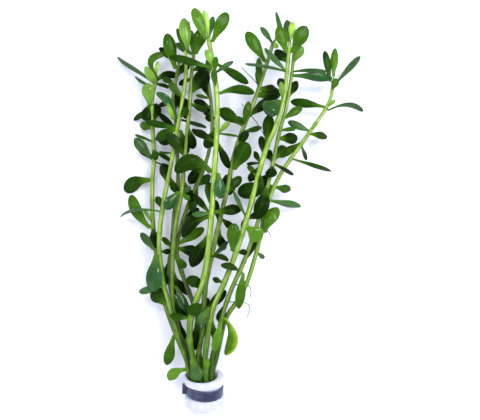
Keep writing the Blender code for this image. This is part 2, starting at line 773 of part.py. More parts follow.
def make_sleeve(material, group, guides):
    """The foam sleeve: a turned form with a waist, its bore, and an underside that lies flat."""
    waist_half = STRIP_WIDTH / 2 + STRIP_SIDE_GAP
    profile = (
        (SLEEVE_MOUTH_AT, SLEEVE_RADIUS - SLEEVE_ROUNDING),
        (SLEEVE_MOUTH_AT - SLEEVE_ROUNDING, SLEEVE_RADIUS),
        (STRIP_AT + waist_half + SLEEVE_SHOULDER, SLEEVE_RADIUS),
        (STRIP_AT + waist_half, SLEEVE_WAIST),
        (STRIP_AT - waist_half, SLEEVE_WAIST),
        (STRIP_AT - waist_half - SLEEVE_SHOULDER, SLEEVE_RADIUS),
        (SLEEVE_END_AT + SLEEVE_ROUNDING, SLEEVE_RADIUS),
        (SLEEVE_END_AT, SLEEVE_RADIUS - SLEEVE_ROUNDING),
    )
    form = bmesh.new()
    rings = [ring_of(form, radius, 0.0, at) for at, radius in profile]
    for upper, lower in zip(rings, rings[1:]):
        bmesh.ops.bridge_loops(form, edges=upper + lower)
    bmesh.ops.holes_fill(form, edges=form.edges)
    sleeve = new_object("foam_sleeve", closed_mesh("foam_sleeve", form), material, group)
    sleeve.matrix_world = sleeve_frame()
    bore = bmesh.new()
    sections = (
        (SLEEVE_MOUTH_AT + PAST_THE_END, MOUTH_RADIUS, MOUTH_SHIFT),
        (SLEEVE_MOUTH_AT, MOUTH_RADIUS, MOUTH_SHIFT),
        (BORE_TAPER_END, BORE_RADIUS, BORE_SHIFT),
        (SLEEVE_END_AT - PAST_THE_END, BORE_RADIUS, BORE_SHIFT),
    )
    rings = [ring_of(bore, radius, shift, at) for at, radius, shift in sections]
    for upper, lower in zip(rings, rings[1:]):
        bmesh.ops.bridge_loops(bore, edges=upper + lower)
    bmesh.ops.holes_fill(bore, edges=bore.edges)
    cutter = new_object("bore_cutter", closed_mesh("bore_cutter", bore), material, guides)
    cutter.matrix_world = sleeve_frame()
    cut(sleeve, cutter)
    wide, deep = CUTTER_WIDTH * MM, CUTTER_DEPTH * MM
    cut(sleeve, block("floor_cutter", (wide, wide, deep), (0.0, 0.0, -deep / 2), material, guides))
    return sleeve


def ring_of(form, radius, shift, at):
    """The edges of a ring of the sleeve's frame at this distance along its axis."""
    place = Matrix.Translation(Vector((shift, 0.0, at)) * MM)
    ring = bmesh.ops.create_circle(form, segments=SLEEVE_SIDES, radius=radius * MM, matrix=place)
    return list({edge for vert in ring["verts"] for edge in vert.link_edges})


def closed_mesh(name, form):
    """A mesh of this form with its faces turned outwards."""
    bmesh.ops.recalc_face_normals(form, faces=form.faces)
    mesh = bpy.data.meshes.new(name)
    form.to_mesh(mesh)
    form.free()
    return mesh


def block(name, size, middle, material, guides):
    """A box for cutting, in the bunch's frame."""
    form = bmesh.new()
    bmesh.ops.create_cube(form, size=1.0, matrix=Matrix.LocRotScale(Vector(middle), None, Vector(size)))
    return new_object(name, closed_mesh(name, form), material, guides)


def cut(thing, cutter):
    """Takes the cutter's form out of the thing."""
    as_guide(cutter)
    difference = thing.modifiers.new(cutter.name, "BOOLEAN")
    difference.operation = "DIFFERENCE"
    difference.object = cutter


def make_strip(material, group):
    """The metal strip: a ribbon round the waist, with both ends pinched outwards into a tab."""
    half = STRIP_WIDTH / 2
    split = TAB_SPLIT / 2 / STRIP_RADIUS
    wound = 2 * math.pi - 2 * split
    turns = [TAB_ANGLE + split + wound * step / STRIP_STEPS for step in range(STRIP_STEPS + 1)]
    path = [(math.cos(turn) * STRIP_RADIUS, math.sin(turn) * STRIP_RADIUS) for turn in turns]
    reach = Vector((math.cos(TAB_ANGLE), math.sin(TAB_ANGLE))) * TAB_REACH
    path = [tuple(Vector(path[0]) + reach)] + path + [tuple(Vector(path[-1]) + reach)]
    middle = Matrix.Translation((0.0, 0.0, STRIP_AT * MM))
    frame = sleeve_frame() @ middle @ Matrix.Rotation(STRIP_YAW, 4, "Y")
    form = bmesh.new()
    bmesh.ops.create_grid(form, x_segments=1, y_segments=len(path) - 1, size=1.0)
    for index, vert in enumerate(in_rows(form.verts)):
        across, up = path[index // 2]
        at = half if index % 2 else -half
        vert.co = frame @ (Vector((across, -up, at)) * MM)
    mesh = bpy.data.meshes.new("metal_strip")
    form.to_mesh(mesh)
    form.free()
    strip = new_object("metal_strip", mesh, material, group)
    shell = strip.modifiers.new("thickness", "SOLIDIFY")
    shell.thickness = STRIP_THICKNESS * MM
    shell.offset = 0.0
    shell.use_even_offset = True
    return strip


def tree_of(thing):
    """A search tree of an object's shape in the bunch's frame."""
    graph = bpy.context.evaluated_depsgraph_get()
    evaluated = thing.evaluated_get(graph)
    mesh = evaluated.to_mesh()
    places = [thing.matrix_world @ vert.co for vert in mesh.vertices]
    faces = [tuple(face.vertices) for face in mesh.polygons]
    evaluated.to_mesh_clear()
    return BVHTree.FromPolygons(places, faces)


def join_to(stem, leaves, guides):
    """Makes one body of a stem and the small leaves that grow from it."""
    grown = new_collection(stem.name + "_grown", guides)
    for leaf in leaves:
        guides.objects.unlink(leaf)
        grown.objects.link(leaf)
        as_guide(leaf)
    union = stem.modifiers.new("small leaves", "BOOLEAN")
    union.operation = "UNION"
    union.operand_type = "COLLECTION"
    union.collection = grown


def grow_leaves(stems, routes, holders, material, group, guides):
    """Sets every leaf clear of the holders, the stems and the other leaves. Those apart come first, as
    objects of their own, and the rest are kept with their stem's name, to be joined to it."""
    stem_trees = {stem.name: tree_of(stem) for stem in stems}
    placed = []
    small = {stem.name: [] for stem in stems}
    for apart in (True, False):
        for name, plan, route in zip(stem_trees, STEMS, routes):
            for order, leaf in enumerate(plan.leaves, 1):
                if leaf.apart != apart:
                    continue
                title = f"{name}_leaf_{order:02d}"
                others = holders + [tree for owner, tree in stem_trees.items() if apart or owner != name]
                others += [room for owner, room in placed if apart or owner != name]
                rows = BROAD_ROWS if apart or leaf.width > BROAD_LEAF else NARROW_ROWS
                stand_offs = STAND_OFFS if apart else (-LEAF_SINK,)
                sheet, room = settle(leaf, order, route, plan.girth, rows, LEAF_COLUMNS, stand_offs, others)
                placed.append((title if apart else name, room))
                grown = make_leaf(title, sheet, material, group if apart else guides)
                if not apart:
                    small[name].append(grown)
    return small


def main():
    clear_scene()
    group = new_collection(COLLECTION, bpy.context.scene.collection)
    guides = new_collection(GROWN_ON, bpy.context.scene.collection)
    stem_green = new_material("stem green", GREEN_STEM, STEM_ROUGHNESS)
    leaf_green = new_material("leaf green", GREEN_LEAF, LEAF_ROUGHNESS)
    foam = new_material("white foam", WHITE_FOAM, FOAM_ROUGHNESS)
    metal = new_material("soft slate metal", SLATE_METAL, STRIP_ROUGHNESS, STRIP_METALLIC)

    sleeve = make_sleeve(foam, group, guides)
    strip = make_strip(metal, group)
    routes = [stem_points(plan) for plan in STEMS]
    stems = []
    for number, (plan, route) in enumerate(zip(STEMS, routes), 1):
        stems.append(make_stem(f"stem_{number:02d}", route, plan.girth, stem_green, group))
    bpy.context.view_layer.update()
    small = grow_leaves(stems, routes, [tree_of(sleeve), tree_of(strip)], leaf_green, group, guides)
    for stem in stems:
        join_to(stem, small[stem.name], guides)


if __name__ == "__main__":
    main()
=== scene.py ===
"""A bunch of cut bacopa stems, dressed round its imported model: fleshy stems with swollen joints, opposite
leaves, root hairs, the foam sleeve round the cut ends and the soft metal strip wound on it.

Lengths in the tables are millimetres, and MM turns them to metres. +Y runs from the sleeve to the growing
tips and +Z up from the surface that the bunch lies on.
"""

import math
import random
from functools import partial
from typing import NamedTuple

import bpy
import numpy as np
from bpy.props import FloatProperty, FloatVectorProperty, IntProperty, PointerProperty
from mathutils import Matrix, Vector, noise
from mathutils.bvhtree import BVHTree


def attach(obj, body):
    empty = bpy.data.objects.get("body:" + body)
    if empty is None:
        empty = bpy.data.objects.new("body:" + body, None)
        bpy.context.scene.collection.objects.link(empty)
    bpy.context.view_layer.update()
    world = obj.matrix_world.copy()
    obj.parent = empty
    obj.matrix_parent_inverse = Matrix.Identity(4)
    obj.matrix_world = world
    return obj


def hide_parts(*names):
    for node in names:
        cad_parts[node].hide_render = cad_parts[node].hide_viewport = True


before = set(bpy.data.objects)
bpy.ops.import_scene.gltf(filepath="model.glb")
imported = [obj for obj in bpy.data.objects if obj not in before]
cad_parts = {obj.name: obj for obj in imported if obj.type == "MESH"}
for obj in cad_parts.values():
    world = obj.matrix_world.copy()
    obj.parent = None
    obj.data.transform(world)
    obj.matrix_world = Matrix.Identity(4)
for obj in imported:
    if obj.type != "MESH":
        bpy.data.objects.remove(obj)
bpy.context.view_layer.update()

bl_info = {
    "name": "Bacopa Bunch",
    "version": (1, 0, 0),
    "blender": (4, 5, 0),
    "location": "3D View > Sidebar > Bacopa Bunch",
    "description": "Dresses a bunch of cut bacopa stems in a foam sleeve",
    "category": "Object",
}

MM = 0.001
UP = Vector((0.0, 0.0, 1.0))
BODY = "root"

# The places in the tables are as the camera sees them, looking straight down on the bunch
EYE_ACROSS = 21.6
EYE_ALONG = 111.0
EYE_LEVEL = 520.0
MEAN_LEVEL = 22.0
PICTURE_WIDTH_SEEN = 288.0

# Sleeve of foam round the cut ends
SLEEVE_MOUTH_AT = 11.0
SLEEVE_END_AT = -8.8
SLEEVE_RADIUS = 12.3
SLEEVE_WAIST = 10.6
SLEEVE_PITCH = math.radians(16)
SLEEVE_AXIS_LEVEL = 12.2
SLEEVE_ROUNDING = 1.8
SLEEVE_SHOULDER = 0.9
STRIP_SIDE_GAP = 0.7
MOUTH_RADIUS = 9.4
MOUTH_SHIFT = -1.9
BORE_RADIUS = 8.5
BORE_SHIFT = -0.4
BORE_TAPER_END = 4.0
LIP_FLARE = 0.8
LUMPS_PER_MM = 0.22
FIBRES_PER_MM = 1.9
LUMPS_UNDER_STRIP = 0.15

# Strip of soft metal, wound once round the sleeve and pinched into a tab
STRIP_WIDTH = 6.6
STRIP_THICKNESS = 0.8
STRIP_RADIUS = 11.1
STRIP_YAW = math.radians(3)
STRIP_AT = 2.2
STRIP_REACHES = (-1.0, -0.6, -0.2, 0.2, 0.6, 1.0)
STRIP_EDGE = 0.18
STRIP_EDGE_ANGLE = math.radians(50)
STRIP_SAG = 0.4
DENTS_PER_MM = 0.35
STEPS_PER_GRAIN = 10
TAB_REACH = 2.6
TAB_ROWS = (0.35, 0.7, 1.0)
TAB_SPLIT = 1.1
TAB_ANGLE = math.radians(172)

# Stems
STEM_RADIUS = 1.5
STEM_TIP_RADIUS = 1.0
STEM_FULL_AT = 0.3
STEM_END_AT = -7.2
STEM_SETTLED_AT = 2.0
BORE_SQUEEZE = 0.87
STEM_SIDES = 12
RING_SPACING = 1.5
TIP_TAPER = 4.0
TIP_BLUNTNESS = 0.02
STEM_RIBS = 4
RIB_TURN = 2
JOINT_LENGTH = 1.5
JOINT_SPACING = 13.0
JOINT_LEAST = JOINT_SPACING / 4

# Length along a stem that its grain counts as one
GRAIN_LENGTH = 100.0

# Root hairs
ROOT_SIDES = 6
ROOT_TAPER = 0.4

# Leaves, as the solids have them
SOLID_HALF = 0.6
LEAF_STALK = 0.3
LEAF_WIDEST_AT = 0.62
LEAF_ARCH = 0.09
LEAF_CUP = 0.16
LEAF_SINK = 0.7
STAND_OFFS = (1.0, 1.4, 1.9)
FLOOR_LEVEL = 0.85
SETTLE_STEP = 1.0
SETTLE_STEPS = 16
ARCH_CHANGES = (0.0, 0.12, -0.12)
ROLL_SWAY = math.radians(16)
SWAY_RATE = 2.4
NARROW_FIT_ROWS = (0.0, 0.62, 1.0)
BROAD_FIT_ROWS = (0.0, 0.4, 0.78, 1.0)
BROAD_LEAF = 9.1
FIT_SLACK = 0.03
SOLID_TIP_FALL = 0.95

# Leaves, as they are dressed
BLADE_ROWS = (0.0, 0.07, 0.16, 0.27, 0.39, 0.51, 0.62, 0.72, 0.81, 0.89, 0.95, 0.985, 1.0)
BLADE_REACHES = (-1.0, -0.7, -0.34, 0.0, 0.34, 0.7, 1.0)
BLADE_TIP_FALL = 0.985
MARGIN_THINNER = 0.5
STALK_THICKER = 0.5
TIP_THINNER = 0.3
GROOVE_REACH = 0.2
GROOVE_BELOW = 0.6
STALK_SUNK = 0.5
STALK_ROW = -0.05
FULL_WIDTH = 8.0
SMALL_THICKNESS = 0.75

# What each leaf's life and shade are drawn from
SEEDS_PER_STEM = 100
WAVE_SHARES = (0.3, 1.0)
WAVE_COUNTS = (0.8, 1.6)
NOD_SHARES = (-0.6, 1.0)
CUP_CHANGES = (-0.1, 0.22)
LEAF_SHADES = (0.72, 1.22)

# Leaf finishes, and how much of the full gloss each has. Some are lit and shaded copies of one green: the
# bright one holds painted light, the deep one painted shade, and the grey and glossy ones a painted sheen.
LOOKS = ("young", "light", "bright", "mid", "dark", "deep", "grey", "glossy", "turning", "spotted")
WETNESS = {"glossy": 0.7, "young": 0.8, "light": 0.7, "bright": 0.5, "mid": 0.25, "grey": 0.3, "dark": 0.1}
DRY = 0.03
SHEEN_TINT = (0.45, 0.9, 0.25, 1.0)
VEINS_ALONG = 42.0
VEINS_SLANT = 46.0

# How the nodes of a finish are laid out in the node editor
NODES_IN_COLUMN = 5
NODE_WIDTH = 260
NODE_HEIGHT = 220
COLUMN_TOP = 400

# Floor and soft lights, in metres: what each light is called, where it stands and how wide it is
FLOOR_SIZE = 4.0
FLOOR_DROP = 0.00005
NEAREST_SEEN = 0.01
LIGHTS = (
    ("key", (0.5, 0.45, 0.85), 0.5),
    ("fill", (-0.7, -0.3, 0.6), 0.6),
    ("glint", (-0.14, 0.4, 0.75), 0.1),
)


class Leaf(NamedTuple):
    """One leaf, its places as the camera sees them. lift is how far its tip stands above the stem, roll turns
    the blade about its length in degrees, bend bows it to the left as a share of its length, apart says that
    its solid is a node of its own, and look names its finish."""

    base: float
    across: float
    along: float
    width: float
    lift: float = 0.0
    roll: float = 0.0
    bend: float = 0.0
    apart: bool = False
    look: str = "dark"


class Stem(NamedTuple):
    """One stem: its place in the bore, its girth past the sleeve as a share of the usual one, its painted
    shade, with the low stems inside the bunch darkest and the top ones a little lighter, its route from the
    mouth to the tip as (across, along, level), and its leaves."""

    slot: tuple
    girth: float
    shade: float
    route: tuple
    leaves: tuple


class RootHair(NamedTuple):
    """A root hair: the number of the stem that it grows from, where along it, and its way from there as
    (across, along, level), as the camera sees it."""

    stem: int
    base: float
    way: tuple


# Makers of leaves, named by their look
young, light, bright, mid, dark, deep, grey, glossy, turning, spotted = (
    partial(Leaf, look=look) for look in LOOKS
)

# Each stem's shade is painted shade: the low stems inside the bunch are darker, the top ones a little lighter
STEMS = (
    Stem(slot=(-6.9, -2.0), girth=1.1, shade=0.95, route=(
        (-10.4, 21, 12.6), (-15.0, 32, 11.8), (-22.2, 51, 11.5), (-26.2, 69, 10.5), (-28.8, 87, 9.5),
        (-30.8, 105, 8.5), (-31.0, 129, 7.5), (-30.0, 142, 7.0), (-31.2, 174, 7.5), (-28.8, 191, 9.0),
    ), leaves=(
        grey(188, -51.6, 203, 6.0, -7, roll=50, apart=True),
        mid(190, -21.0, 205, 4.6, 4, bend=0.5, apart=True), young(191, -27.6, 200, 2.8, 3),
        grey(184, -41.4, 191, 4.4, 1, roll=72), dark(187, -21.6, 184, 5.0, -3, roll=78),
        deep(188, -15.6, 191, 4.8, -3, bend=0.2), light(174, -34.2, 187, 8.4, 4, apart=True),
        dark(172, -42.0, 165, 3.6, -6), deep(164, -28.8, 175, 8.0, -5), mid(160, -38.4, 162, 5.4, -5),
        grey(143, -41.4, 154, 6.6, 5, apart=True), mid(152, -40.8, 157, 5.0, -4, roll=78),
        deep(141, -39.0, 148, 5.0, -5, roll=60), dark(147, -28.8, 141, 4.8, 3),
        dark(146, -20.4, 140, 5.0, -3, roll=76), dark(140, -20.4, 136, 5.0, -5, roll=74),
        dark(129, -46.5, 121.5, 9.2, -6.5, bend=-0.15, apart=True),
        mid(101, -44.0, 120, 7.6, 2, bend=0.08, apart=True), light(104, -35.4, 112, 4.0, 2, roll=45),
        dark(87, -30.6, 99, 4.8, -5), deep(175, -34.8, 164.4, 9.0, 7), deep(100, -30.6, 87, 5.4, 6),
        light(187, -35.4, 197, 5.4, 3),
    )),
    Stem(slot=(-4.0, -5.8), girth=1.0, shade=0.5, route=(
        (-8.0, 22, 9.3), (-13.8, 39, 10.0), (-18.6, 57, 11.0), (-21.0, 74, 11.5), (-19.2, 90, 10.4),
        (-18.0, 107, 10.2), (-15.6, 125, 10.5), (-16.2, 147, 10.5), (-16.8, 164, 11.0), (-18.6, 176, 11.5),
        (-18.0, 182, 11.7), (-14.4, 202, 12.5),
    ), leaves=(
        mid(196, -22.2, 217, 7.8, 5, apart=True), deep(200, -27.0, 208, 4.8, -3),
        dark(186, -24.6, 191, 4.6, -1, roll=20), deep(192, -9.0, 199, 5.4, -6),
        glossy(166, -28.8, 181, 5.2, 3, bend=-0.2, apart=True), deep(176, -27.6, 174, 3.8, -5),
        deep(160, -27.0, 169, 4.0, -8, roll=35), light(164, -21.6, 175, 4.0, 3, roll=40),
        dark(166, 1.2, 160, 5.0, -6, roll=65), deep(186, -10.5, 166, 5.6, -6), deep(72, -9.0, 60, 6.0, -3),
        deep(82, -22.5, 70, 5.0, -5), deep(152, -27.5, 153, 6.0, -3), deep(170, -16.5, 181, 4.6, -3),
    )),
    Stem(slot=(-6.9, 2.2), girth=1.08, shade=0.95, route=(
        (-10.2, 20, 18.3), (-16.2, 36, 18.8), (-21.6, 57, 19.0), (-24.6, 68, 18.6), (-27.0, 88, 17.8),
        (-26.4, 100, 17.4), (-24.6, 114, 17.0), (-21.0, 132, 17.0), (-18.3, 147, 17.0), (-13.2, 176, 18.0),
        (-10.8, 193, 19.5), (-11.4, 208, 21.0),
    ), leaves=(
        light(207, -12.0, 226, 7.2, 2, apart=True), mid(207, -16.2, 220, 3.2, 3),
        grey(207, -8.4, 224, 4.4, -3, roll=35), mid(179, -21.0, 187, 4.4, 2), dark(167, -9.6, 172, 5.0, 3),
        dark(160, -34.8, 164, 4.6, -5), dark(159, -10.8, 144, 7.2, -2, apart=True),
        dark(160, -29.0, 153.5, 6.4, -4), dark(145, -26.4, 146, 5.0, -3, roll=76),
        deep(128, -25.2, 139, 6.6, -6), dark(131, -16.4, 121, 5.0, -5),
        grey(110, -50.4, 107, 3.0, -12, roll=55, bend=-0.1), dark(112, -28.2, 119, 4.4, -4),
        glossy(84, -30.6, 62, 10.4, 3, apart=True), grey(87, -37.8, 97, 5.0, -4, apart=True),
        deep(86, -19.8, 86, 3.4, -3), deep(80, -22.3, 66, 4.4, -6),
        dark(55, -31.5, 63, 9.6, -4, apart=True), grey(66, -39.0, 62, 4.4, -12),
        mid(36, -22.0, 18, 6.6, -8, apart=True), bright(15.5, -21.0, 8.4, 6.6, -4, bend=-0.16, apart=True),
    )),
    Stem(slot=(-3.5, 0.1), girth=1.04, shade=0.65, route=(
        (-8.0, 22, 15.4), (-15.0, 38, 15.0), (-18.6, 57, 16.0), (-19.2, 73, 17.0), (-18.6, 87, 17.8),
        (-16.2, 107, 18.3), (-13.2, 123, 18.5), (-12.0, 138, 18.5), (-10.2, 156, 18.0), (-8.4, 177, 17.0),
        (-7.2, 195, 15.5), (-6.0, 206, 15.0),
    ), leaves=(
        mid(205, -0.6, 220, 7.8, 4, apart=True), grey(204, -16.8, 211, 5.0, 2, roll=45),
        bright(204, -7.2, 219, 4.2, -1), deep(195, 1.2, 197, 5.0, -4),
        dark(175, 1.8, 169, 5.0, -4, roll=55), deep(160, -6.5, 148, 6.4, -5),
        glossy(121, -23.0, 111.5, 7.2, 4, apart=True), grey(121, -8.0, 125, 3.2, 2),
        mid(121, -8.5, 117, 3.2, 2), dark(88, -24.6, 95, 4.0, -4, roll=50), mid(84, -10.8, 76, 5.0, -2),
        deep(75, -14.4, 58, 5.2, -6), deep(59, -12.4, 46, 5.2, -6), deep(44, -11.4, 34, 4.0, -4),
        glossy(65, -9.6, 50, 5.6, 3, apart=True), deep(182, 2.5, 194, 10.0, -3),
        dark(144, -21.6, 157, 6.6, 3), deep(168, -12.0, 178, 4.4, -5), deep(128, -6.6, 116, 5.4, -4),
        deep(190, -15.0, 186, 3.6, -3),
    )),
    Stem(slot=(-4.6, 5.5), girth=1.32, shade=1.05, route=(
        (-6.6, 22, 22.6), (-8.6, 33, 23.5), (-7.8, 47, 26.0), (-4.2, 58, 27.5), (-0.6, 68, 28.5),
        (1.8, 82, 29.8), (4.2, 105, 31.0), (6.6, 138, 31.5), (7.8, 162, 30.5), (7.8, 177, 29.5),
        (6.0, 196, 28.0), (2.4, 215, 26.5),
    ), leaves=(
        bright(214, -6.0, 232, 7.2, 3, apart=True), young(214, 0.0, 231, 4.2),
        mid(212, 14.2, 229.5, 7.6, 2, apart=True), grey(214, 5.4, 227, 3.8, -3),
        light(197, 1.2, 207, 3.8, 3), dark(197, -20.4, 203, 5.2, 2, apart=True),
        dark(198, 26.4, 187, 5.4, roll=35, apart=True), mid(194, 7.2, 203, 3.4, 3),
        grey(193, 17.4, 200, 3.0, -2), mid(185, 5.4, 195, 3.8, 4),
        dark(181, 30.0, 181, 5.6, -2, bend=0.1, apart=True), light(157, 15.6, 164, 3.6, roll=40),
        mid(157, 20.4, 155, 3.0, -2, roll=74), deep(152, 15.0, 136, 5.0, -7),
        dark(160, 1.8, 147.5, 7.4, -6), deep(152, -7.0, 160, 5.6, -2, roll=20),
        dark(134, -16.8, 133.5, 9.6, -2, bend=-0.3, apart=True), glossy(133, 10.2, 118, 6.8, 3, apart=True),
        dark(113, 3.0, 128, 5.6, -4), deep(109, -6.0, 120, 4.4, -5, roll=40),
        grey(109, -7.2, 109, 4.4, 1, roll=35), deep(107, -12.6, 95, 7.4, -7, bend=-0.15),
        deep(110, 22.2, 112, 6.4, -4, apart=True), dark(83, 14.4, 80, 4.2, -1, roll=25, bend=0.15),
        deep(95, -8.0, 77, 8.4, -7), dark(46, -20.4, 48, 4.4, -2, roll=30),
        grey(20, -3.6, 8.8, 8.0, 6, apart=True),
    )),
    Stem(slot=(-0.7, 6.3), girth=1.08, shade=0.7, route=(
        (-3.6, 21, 20.6), (-1.8, 33, 20.4), (0.0, 41, 20.8), (0.0, 54, 21.8), (1.2, 67, 22.3),
        (4.8, 84, 22.5), (11.4, 113, 21.5), (14.4, 125, 21.0), (16.8, 139, 20.5), (21.6, 155, 20.0),
        (30.0, 176, 19.0), (37.8, 199, 17.6), (42.0, 213, 17.0),
    ), leaves=(
        mid(200, 25.6, 218, 7.8, 4, apart=True), grey(211, 34.2, 221, 4.0, roll=40),
        young(212, 46.0, 217, 3.2, 2), young(212, 44.0, 208, 3.0, 1), mid(186, 33.0, 202, 4.6, 1, roll=35),
        mid(185, 31.8, 194, 4.0, -2, roll=40), deep(184, 45.6, 182, 8.0, -6), deep(180, 46.5, 181, 8.6, -6),
        mid(162, 27.0, 176, 4.8, -2), dark(162, 9.0, 171, 7.8, -3, apart=True),
        dark(163, 19.8, 167, 2.8, -1), dark(158, 34.8, 160, 4.0, -3, roll=50),
        dark(136, 26.0, 151.5, 10.2, 5, apart=True), dark(155, 27.0, 157, 3.8, -2),
        deep(123, 13.2, 132, 5.4, -6), dark(122, 22.2, 131, 5.6, -2), deep(106, 17.4, 100, 4.4, -5),
        grey(83, 14.4, 92, 4.0, -3, roll=50), dark(91, 9.6, 100, 3.8, -5), deep(104, 6.4, 117, 4.4, -5),
        deep(98, 12.0, 87, 5.4, -6), dark(62, -10.8, 68.4, 7.2, 2, bend=-0.25, apart=True),
        mid(14.5, -1.8, 23, 4.0, 3), deep(150, 25.8, 158, 5.4, 1), deep(132, 15.6, 120, 6.4, -4),
        deep(50, 13.0, 63, 6.0, -5), deep(168, 40.8, 177.6, 6.4, -5), dark(51, -10.2, 51.5, 8.6, 8),
    )),
    Stem(slot=(3.0, 6.5), girth=1.2, shade=1.05, route=(
        (0.6, 20, 22.0), (2.0, 34, 23.3), (5.4, 52, 25.2), (12.0, 67, 26.0), (20.4, 89, 27.0),
        (28.2, 115, 28.0), (34.2, 138, 28.0), (39.0, 152, 27.5), (42.6, 160, 27.0), (47.4, 176, 26.0),
        (49.2, 188, 25.4), (51.6, 213, 24.0),
    ), leaves=(
        mid(206, 45.0, 221, 7.8, 2, apart=True), young(212, 53.4, 224, 4.2, 2),
        mid(206, 61.2, 221, 9.0, 2, apart=True), grey(212, 49.8, 225, 5.4, -3),
        grey(194, 36.6, 208, 4.4, roll=38), grey(194, 25.2, 199, 5.0, -4, roll=45),
        grey(203, 43.2, 230, 3.2, -9), deep(200, 43.2, 207, 6.6, -8), light(177, 46.2, 188, 3.4, 3),
        deep(182, 45.0, 190, 5.0, -7), glossy(176, 36.4, 169, 11.4, 3, apart=True),
        deep(144, 34.2, 155, 4.4, -6), dark(150, 39.0, 168, 7.0, -7), deep(96, 25.6, 106, 4.4, -7),
        deep(139, 30.0, 146, 3.4, -3), mid(131, 26.4, 138, 3.4, -6), deep(139, 25.8, 139, 4.0, -3, roll=62),
        dark(133, 34.8, 124, 3.4, 3), grey(107, 18.0, 123, 4.0, -2, roll=40),
        dark(106, 37.2, 110, 5.4, -12), mid(86, 18.0, 103, 7.8, 5, apart=True),
        bright(101, 34.2, 93.6, 10.4, 2, apart=True), deep(86, 25.8, 86, 3.6, -1),
        dark(67, 5.4, 70, 3.4, -3), dark(45, 6.4, 33, 3.6, -4), spotted(52, -2.4, 42, 6.6, 2, apart=True),
        bright(14.5, 2.0, 22, 4.0, 3), deep(137, 27.0, 128, 5.0, -5),
    )),
    Stem(slot=(6.0, 3.9), girth=1.0, shade=0.75, route=(
        (4.8, 22, 19.6), (7.8, 33, 20.6), (11.4, 49, 22.5), (16.8, 64, 24.0), (22.2, 76, 24.5),
        (27.0, 88, 24.6), (34.8, 112, 24.0), (40.2, 134, 23.5), (45.6, 159, 22.4), (49.2, 172, 21.2),
        (53.0, 195, 19.0), (54.0, 207, 18.0),
    ), leaves=(
        light(200, 59.4, 209, 5.6, 2), glossy(192, 76.8, 190, 5.6, -4, roll=30, apart=True),
        grey(194, 74.4, 193.6, 3.2, 4, roll=40), deep(179, 55.8, 188, 5.0, -5),
        mid(166, 58.8, 173, 5.0, -2), deep(137, 39.6, 131, 7.0, 6), deep(154, 55.8, 154, 7.2, -5),
        dark(142, 49.8, 149, 7.0, -6), mid(159, 54.6, 159, 4.0, -3, roll=50), deep(140, 37.0, 147, 5.2, -7),
        deep(133, 34.0, 126, 6.0, -7), deep(56, 8.6, 44, 5.2, -6), dark(139, 53.4, 132, 4.0, -4, roll=60),
        dark(74, 10.2, 78, 4.6, 5, roll=25, bend=-0.12), mid(74, 21.0, 52, 6.2, -1, apart=True),
        turning(46, 12.6, 24, 6.8, bend=0.2, apart=True), bright(45, 6.0, 26, 5.4, 4, apart=True),
        deep(80, 31.2, 93, 3.6, -4), deep(124, 31.8, 105.6, 9.0, 6),
    )),
    Stem(slot=(6.6, -2.0), girth=1.0, shade=1.0, route=(
        (7.2, 21, 15.2), (9.6, 32, 16.8), (13.2, 46, 18.4), (21.0, 58, 20.0), (26.4, 69, 20.2),
        (33.6, 94, 19.2), (36.0, 108, 18.6), (39.6, 119, 18.0), (46.2, 133, 17.0), (63.0, 157, 14.5),
        (73.2, 172, 13.0), (76.2, 179, 13.0), (78.0, 191, 14.0),
    ), leaves=(
        dark(188, 72.5, 206.5, 4.6, 1, apart=True), bright(191, 78.4, 208, 4.8, 3),
        grey(187, 93.6, 203, 4.2, -12, roll=10, apart=True), mid(183.5, 79.6, 190, 4.4, 3),
        dark(172, 52.2, 176, 5.6, -4, apart=True),
        grey(172, 95.4, 170, 4.2, -11, roll=40, bend=0.14, apart=True), light(173, 78.6, 177, 2.4, 2),
        grey(158, 50.4, 164, 4.6, 2), light(159, 67.8, 164, 2.8, 2), dark(157, 73.8, 155, 5.0, -8),
        grey(150, 61.2, 141, 3.2, -5, roll=35), mid(151, 45.0, 143, 5.0, 3),
        dark(142, 76.2, 134, 3.4, -14, roll=40), mid(125, 51.6, 123, 5.4, -8),
        dark(124, 20.0, 121, 10.4, -4, apart=True), deep(126, 31.2, 112, 7.0, -9),
        grey(117, 57.6, 113, 5.0, -15, roll=25), bright(98, 45.0, 112, 8.6, 2, bend=0.12, apart=True),
        grey(86, 36.0, 82, 3.0, -3),
    )),
    Stem(slot=(1.2, -2.2), girth=1.0, shade=0.4, route=(
        (-2.4, 22, 13.6), (-3.0, 39, 14.0), (-4.8, 50, 14.5), (-12.8, 72, 14.3), (-16.4, 86, 13.9),
        (-14.2, 99, 13.6), (-8.6, 116, 13.5), (0.6, 138, 13.0), (4.6, 156, 12.5), (4.4, 174, 12.0),
        (1.8, 192, 11.0),
    ), leaves=(
        deep(178, -1.0, 189, 5.0, -6), deep(166, 0.0, 173, 5.4, -6), mid(178, -4.8, 180, 4.0, 4, roll=40),
        mid(91, 0.0, 100, 6.0, 4), dark(133, -8.0, 139, 6.0, 2), dark(126, 4.0, 131, 6.0, -8),
        mid(190, 3.0, 203, 4.6, 1), deep(138, -9.4, 127, 7.0, -2), deep(172, -6.0, 177, 4.8, -3),
        deep(88, -3.0, 86, 7.0, -2), deep(45, 3.0, 58, 6.0, -3), deep(44, -5.5, 27, 5.0),
        deep(104, -3.0, 112, 5.6, -3), dark(50, -12.0, 48, 7.0, -1, apart=True), dark(50, 3.0, 49, 7.0, -1),
        deep(170, 3.0, 164, 6.0), dark(126, -7.8, 110, 5.6, 4),
    )),
)

